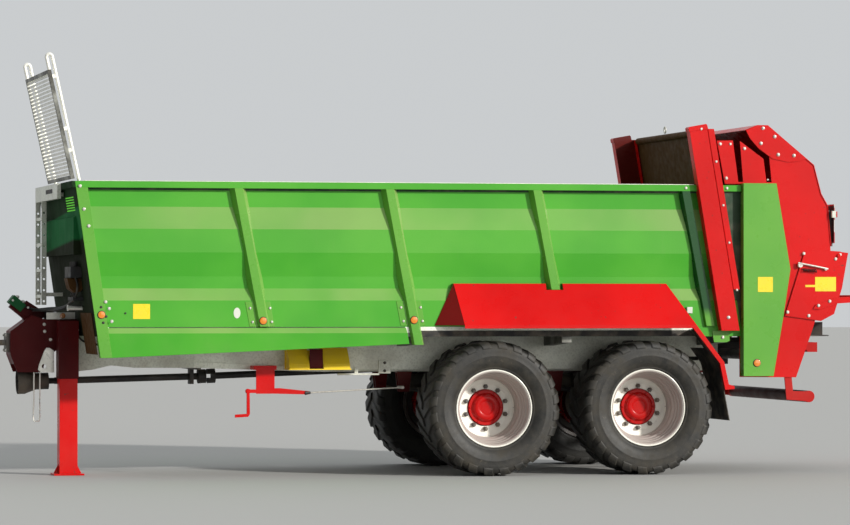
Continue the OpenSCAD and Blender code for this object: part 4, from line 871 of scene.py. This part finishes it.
RAIL_Y = 0.49
plates = Piece("rail_plates", "galvanised", bevel=0.002)
plates.box((-0.403, -RAIL_Y - 0.012, 0.8), (-0.303, -RAIL_Y, 0.905))
plates.box((-0.741, -RAIL_Y - 0.04, 0.788), (-0.403, -RAIL_Y - 0.004, 0.802))
plates.box((-0.6, -RAIL_Y - 0.012, 0.8), (-0.57, -RAIL_Y, 0.85))
plates.prism_pair(RAIL_Y, RAIL_Y + 0.004,
                  [(-1.895, 0.895), (-0.86, 0.85), (-0.86, 0.856), (-1.895, 0.901)])
plates.done()
plate_bolts = Piece("rail_plate_bolts", "black", bevel=0)
for z in (0.886, 0.822):
    plate_bolts.bolt((-0.353, -RAIL_Y - 0.012, z), (0, -1, 0), HEAD_10)
plate_bolts.done()

BRAKE_Y = -0.634
pull_rod = Piece("brake_pull_rod", "bolt", bevel=0)
pull_rod.rod((-1.005, BRAKE_Y, 0.651), (-0.235, BRAKE_Y + 0.006, 0.69), 0.0055, sides=12)
pull_rod.rod((-0.235, BRAKE_Y - 0.01, 0.69), (-0.235, -0.48, 0.69), 0.012, sides=16)
pull_rod.done()
clevis = Piece("pull_rod_clevis", "black", bevel=0.001)
clevis.rod((-1.03, BRAKE_Y, 0.65), (-0.985, BRAKE_Y, 0.652), 0.017, 0.01, sides=16)
clevis.done()
strap = Piece("chock_strap", "shaded_red", bevel=0.002)
strap.box((-1.008, -0.712, 0.846), (-0.9, -0.706, 1.0))
strap.box((-1.008, -0.712, 0.846), (-0.9, -0.56, 0.852))
strap.done()

CHAMBER_Y = 0.56
CHAMBER_Z = 0.7
# start, end, radius and sides of each round part, along X from the axle
CHAMBER_PARTS = [(-0.3, -0.17, 0.07, 28), (-0.17, -0.155, 0.082, 28), (-0.155, -0.115, 0.06, 28),
                 (-0.12, 0.02, 0.009, 20)]
LEVER = [(-0.012, 0.545), (0.02, 0.545), (0.035, 0.715), (0.005, 0.715)]
chambers = Piece("brake_chambers", "black", bevel=0.003)
for axle_x in (FRONT_AXLE_X, REAR_AXLE_X):
    for start, end, radius, sides in CHAMBER_PARTS:
        for y in (-CHAMBER_Y, CHAMBER_Y):
            chambers.rod((axle_x + start, y, CHAMBER_Z), (axle_x + end, y, CHAMBER_Z), radius, sides=sides)
    chambers.prism_pair(CHAMBER_Y - 0.012, CHAMBER_Y + 0.012, [(axle_x + dx, z) for dx, z in LEVER])
    for right, top in ((-0.055, 0.605), (-0.115, 0.76)):
        chambers.box_pair(0.5, 0.62, (axle_x - 0.125, axle_x + right), (0.59, top))
chambers.done()


# Mudflaps: rubber sheets whose lower ends trail to the rear

SHEET_OUT_Y = 1.211
SHEET_IN_Y = 0.7
SHEET_T = 0.008
UPPER_LINE = [(2.03, 1.158), (2.228, 0.884)]
LOWER_LINE = [(2.141, 1.005), (2.228, 0.884), (2.242, 0.84), (2.254, 0.75), (2.272, 0.64),
              (2.292, 0.53), (2.312, 0.426)]


def sheet_outline(line):
    """A strip of the sheets' thickness, to the rear of a line in X and Z."""
    return line + [(x + SHEET_T, z) for x, z in reversed(line)]


sheets = Piece("mudflap_sheets", "rubber", bevel=0.0015)
sheets.prism_pair(SILL_Y + 0.006, SHEET_OUT_Y, sheet_outline(UPPER_LINE))
sheets.prism_pair(SHEET_IN_Y, SHEET_OUT_Y, sheet_outline(LOWER_LINE))
sheets.box_pair(RAIL_Y, SHEET_IN_Y + 0.02, (2.18, 2.205), (0.9, 0.93))
sheets.done("mudflaps")


# Wheels: tyres with tread, stepped rims, nuts and valves

TYRE_R = 0.533
CROWN_R = 0.518
HALF_W = 0.275
TYRE_STEPS = 120
LUG_COUNT = 24
LUG_SLANT = math.radians(24)
HALF_TRACK = 0.975
BEAD_R = 0.2863

# radius and distance from the tyre's middle plane, from the bead to the crown
TYRE_SIDE = [(BEAD_R, 0.2155), (0.306, 0.2225), (0.312, 0.238), (0.318, 0.244), (0.326, 0.244),
             (0.34, 0.254), (0.362, 0.264), (0.39, 0.2715), (0.41, 0.274), (0.413, 0.2748),
             (0.418, 0.2748), (0.421, 0.274), (0.448, 0.2735), (0.476, 0.2715), (0.496, 0.266),
             (0.507, 0.255), (0.513, 0.238), (0.516, 0.205), (0.5175, 0.14), (CROWN_R, 0.0)]
TYRE_INSIDE = [(0.47, 0.0), (0.462, 0.17), (0.43, 0.236), (0.35, 0.232), (BEAD_R, 0.18)]


def crown_at(a):
    """Radius of the carcass at a distance from the middle plane, over the tread's width."""
    side = [(r, w) for r, w in TYRE_SIDE if r > 0.46]
    for (r0, w0), (r1, w1) in zip(side, side[1:]):
        if w1 <= a <= w0:
            return r0 + (r1 - r0) * (w0 - a) / (w0 - w1)
    return CROWN_R


# along a lug: distance outwards, radius of its top, its half width
LUG_LINE = [(0.02, TYRE_R, 0.024), (0.07, TYRE_R, 0.029), (0.13, TYRE_R, 0.032),
            (0.185, TYRE_R, 0.034), (0.23, TYRE_R - 0.001, 0.034), (0.247, 0.528, 0.034),
            (0.26, 0.518, 0.033), (0.2695, 0.503, 0.032), (0.274, 0.484, 0.03)]
DRAFT = 0.006
ROOT_DEPTH = 0.01


def wheel_matrix(x, side):
    """The wheel's own axes, with +Z outwards, set on its spindle."""
    return Matrix.Translation((x, side * HALF_TRACK, TYRE_R)) @ Matrix.Rotation(-side * math.pi / 2, 4, "X")


def on_tyre(radius, tangent, a):
    angle = tangent / radius
    return Vector((radius * math.cos(angle), radius * math.sin(angle), a))


def tyre(corner, place):
    piece = Piece("tyre_tread_" + corner, "tyre", body="wheel_" + corner, bevel=0.0025, sharp=32)
    section = [(r, -a) for r, a in TYRE_SIDE[:-1]] + TYRE_SIDE[::-1]
    section += TYRE_INSIDE[::-1] + [(r, -a) for r, a in TYRE_INSIDE[1:]]
    rings = []
    for k in range(TYRE_STEPS):
        turn = Matrix.Rotation(k * math.tau / TYRE_STEPS, 4, "Z")
        rings.append([place @ turn @ Vector((r, 0, a)) for r, a in section])
    piece.loft(rings, caps=False, closed=True)
    for flip in (0, 1):
        for i in range(LUG_COUNT):
            turn = Matrix.Rotation(math.radians(90) + (i + flip / 2) * math.tau / LUG_COUNT, 4, "Z")
            sections = []
            for a, top, half in LUG_LINE:
                middle = -(a - HALF_W / 2) * math.tan(LUG_SLANT)
                wide = half / math.cos(LUG_SLANT)
                root = min(crown_at(a) - ROOT_DEPTH, top - 0.006)
                sections.append([on_tyre(root, middle - wide - DRAFT, a), on_tyre(top, middle - wide, a),
                                 on_tyre(top, middle + wide, a), on_tyre(root, middle + wide + DRAFT, a)])
            mirror = Matrix.Scale(-1, 4, (0, 0, 1)) if flip else Matrix.Identity(4)
            piece.loft([[place @ turn @ mirror @ p for p in ring] for ring in sections])
    piece.done("tyre_" + corner)


# closed profiles of radius and distance outwards: the lip, the stepped barrel and the disc
RIM_LIP = [(0.3045, 0.222), (0.309, 0.228), (0.307, 0.2345), (0.302, 0.236), (0.2975, 0.2335),
           (0.2955, 0.229), (0.2975, 0.224)]
RIM_BARREL = [(0.2965, 0.222), (0.297, 0.23), (0.29, 0.2285), (0.2845, 0.222), (0.2795, 0.208),
              (0.278, 0.176), (0.27, 0.166), (0.269, 0.128), (0.261, 0.118), (0.257, 0.092),
              (0.247, 0.08), (0.244, 0.074), (0.244, 0.03), (0.236, 0.018), (0.234, 0.004),
              (0.2335, -0.036), (0.231, -0.052), (0.244, -0.079), (0.2757, -0.098), (0.2777, -0.23),
              (0.306, -0.236), (0.306, -0.222), (0.2855, -0.216), (0.2855, -0.09), (0.252, -0.07),
              (0.252, 0.07), (0.2855, 0.09), (0.2855, 0.218)]
RIM_DISC = [(0.2325, -0.048), (0.223, -0.058), (0.198, -0.062), (0.19, -0.0665),
            (0.156, -0.0675), (0.1475, -0.068), (0.1475, -0.079), (0.243, -0.079)]
RIM_SIDES = 96
NUT_RING_R = 0.168
NUT_COUNT = 10
NUT_R = 0.019
FLANGE_A = -0.068         # distance outwards of the face that the nuts stand on
HUB_RING_R = 0.128
HUB_BOLT_COUNT = 6
# radius and distance outwards of the raised ring on the hub's cap
HUB_TRIM = [(0.052, -0.001), (0.094, -0.001), (0.094, 0.004), (0.086, 0.007), (0.06, 0.007),
            (0.052, 0.003)]


def rim(corner, place, out):
    body = "wheel_" + corner
    centre = place.translation
    face = Piece("rim_face_" + corner, "rim", body, bevel=0.0008, sharp=24)
    face.lathe(centre, out, RIM_LIP, sides=RIM_SIDES)
    face.lathe(centre, out, RIM_DISC, sides=RIM_SIDES)
    face.done()
    barrel = Piece("rim_barrel_" + corner, "barrel", body, bevel=0.0008, sharp=24)
    barrel.lathe(centre, out, RIM_BARREL, sides=RIM_SIDES)
    barrel.done("rim_" + corner)


def wheel_fittings(corner, place, out):
    """Nuts on the disc, ring and bolts on the hub, and the tyre's valve."""
    body = "wheel_" + corner
    nuts = Piece("wheel_nuts_" + corner, "steel", body, bevel=0.0006)
    for at in circle((0, 0, FLANGE_A), (0, 0, 1), NUT_RING_R, NUT_COUNT, math.pi / NUT_COUNT):
        at = place @ at
        nuts.loft([circle(at - out * 0.001, out, NUT_R, 6), circle(at + out * 0.022, out, NUT_R, 6),
                   circle(at + out * 0.025, out, 0.016, 6)])
        nuts.rod(at + out * 0.02, at + out * 0.04, 0.0105, 0.0095, sides=14)
    nuts.done()
    trim = Piece("hub_trim_" + corner, "hub_red", body, bevel=0.001)
    trim.lathe(place @ Vector((0, 0, -0.03)), out, HUB_TRIM)
    trim.done()
    cap_bolts = Piece("hub_bolts_" + corner, "hub_red", body, bevel=0)
    for at in circle((0, 0, -0.052), (0, 0, 1), HUB_RING_R, HUB_BOLT_COUNT):
        cap_bolts.bolt(place @ at, out, HEAD_6)
    cap_bolts.done()
    valve = Piece("valve_" + corner, "bolt", body, bevel=0)
    valve.rod(place @ Vector((0.228, 0, -0.064)), place @ Vector((0.216, 0, -0.009)), 0.005, 0.0045,
              sides=12)
    valve.done()


for corner, (axle_x, side) in CORNERS.items():
    place = wheel_matrix(axle_x, side)
    out = (place.to_3x3() @ Vector((0, 0, 1))).normalized()
    tyre(corner, place)
    rim(corner, place, out)
    wheel_fittings(corner, place, out)


# Floor and light

FLOOR_SIZE = 400
FLOOR_Z = -0.001


def plane(name, size, at, look):
    mesh = bpy.data.meshes.new(name)
    half = size / 2
    mesh.from_pydata([(-half, -half, 0), (half, -half, 0), (half, half, 0), (-half, half, 0)], [],
                     [(0, 1, 2, 3)])
    obj = bpy.data.objects.new(name, mesh)
    obj.location = at
    mesh.materials.append(look)
    bpy.context.scene.collection.objects.link(obj)
    return obj


floor_look = Graph("pale floor")
plane("floor_plane", FLOOR_SIZE, (0, 0, FLOOR_Z),
               floor_look.surface((0.42, 0.42, 0.41, 1.0), 0.85))


def sun(name, azimuth, height, strength, angle, colour):
    """A lamp far away; azimuth runs from the front of the picture towards +X, in degrees."""
    data = bpy.data.lights.new(name, "SUN")
    data.energy = strength
    data.angle = math.radians(angle)
    data.color = colour
    obj = bpy.data.objects.new(name, data)
    across, up = math.radians(azimuth), math.radians(height)
    towards = Vector((math.sin(across) * math.cos(up), -math.cos(across) * math.cos(up), math.sin(up)))
    obj.rotation_euler = towards.to_track_quat("Z", "Y").to_euler()
    bpy.context.scene.collection.objects.link(obj)


def studio(behind, above, backdrop):
    """Light from all round, brighter from behind and above; the backdrop is seen but gives no light."""
    world = bpy.data.worlds.new("studio")
    bpy.context.scene.world = world
    world.use_nodes = True
    made, links = world.node_tree.nodes, world.node_tree.links
    axes = made.new("ShaderNodeSeparateXYZ")
    links.new(made.new("ShaderNodeTexCoord").outputs["Generated"], axes.inputs[0])
    total = made.new("ShaderNodeMath")
    total.operation = "ADD"
    for k, (axis, low, high, level) in enumerate(((1, -0.3, 0.95, behind), (2, 0.0, 1.0, above))):
        slope = made.new("ShaderNodeMapRange")
        for key, number in (("From Min", low), ("From Max", high), ("To Min", 0.05), ("To Max", level)):
            slope.inputs[key].default_value = number
        links.new(axes.outputs[axis], slope.inputs["Value"])
        links.new(slope.outputs["Result"], total.inputs[k])
    choice = made.new("ShaderNodeMix")
    choice.data_type = "FLOAT"
    choice.inputs[3].default_value = backdrop
    links.new(made.new("ShaderNodeLightPath").outputs["Is Camera Ray"], choice.inputs[0])
    links.new(total.outputs[0], choice.inputs[2])
    background = made["Background"]
    background.inputs[0].default_value = (0.95, 0.98, 1.0, 1.0)
    links.new(choice.outputs[0], background.inputs[1])


sun("key", azimuth=42, height=20, strength=3.55, angle=3, colour=(1.0, 0.97, 0.91))
sun("low_fill", azimuth=25, height=6, strength=0.8, angle=40, colour=(1.0, 0.98, 0.95))
studio(behind=0.5, above=0.6, backdrop=0.62)
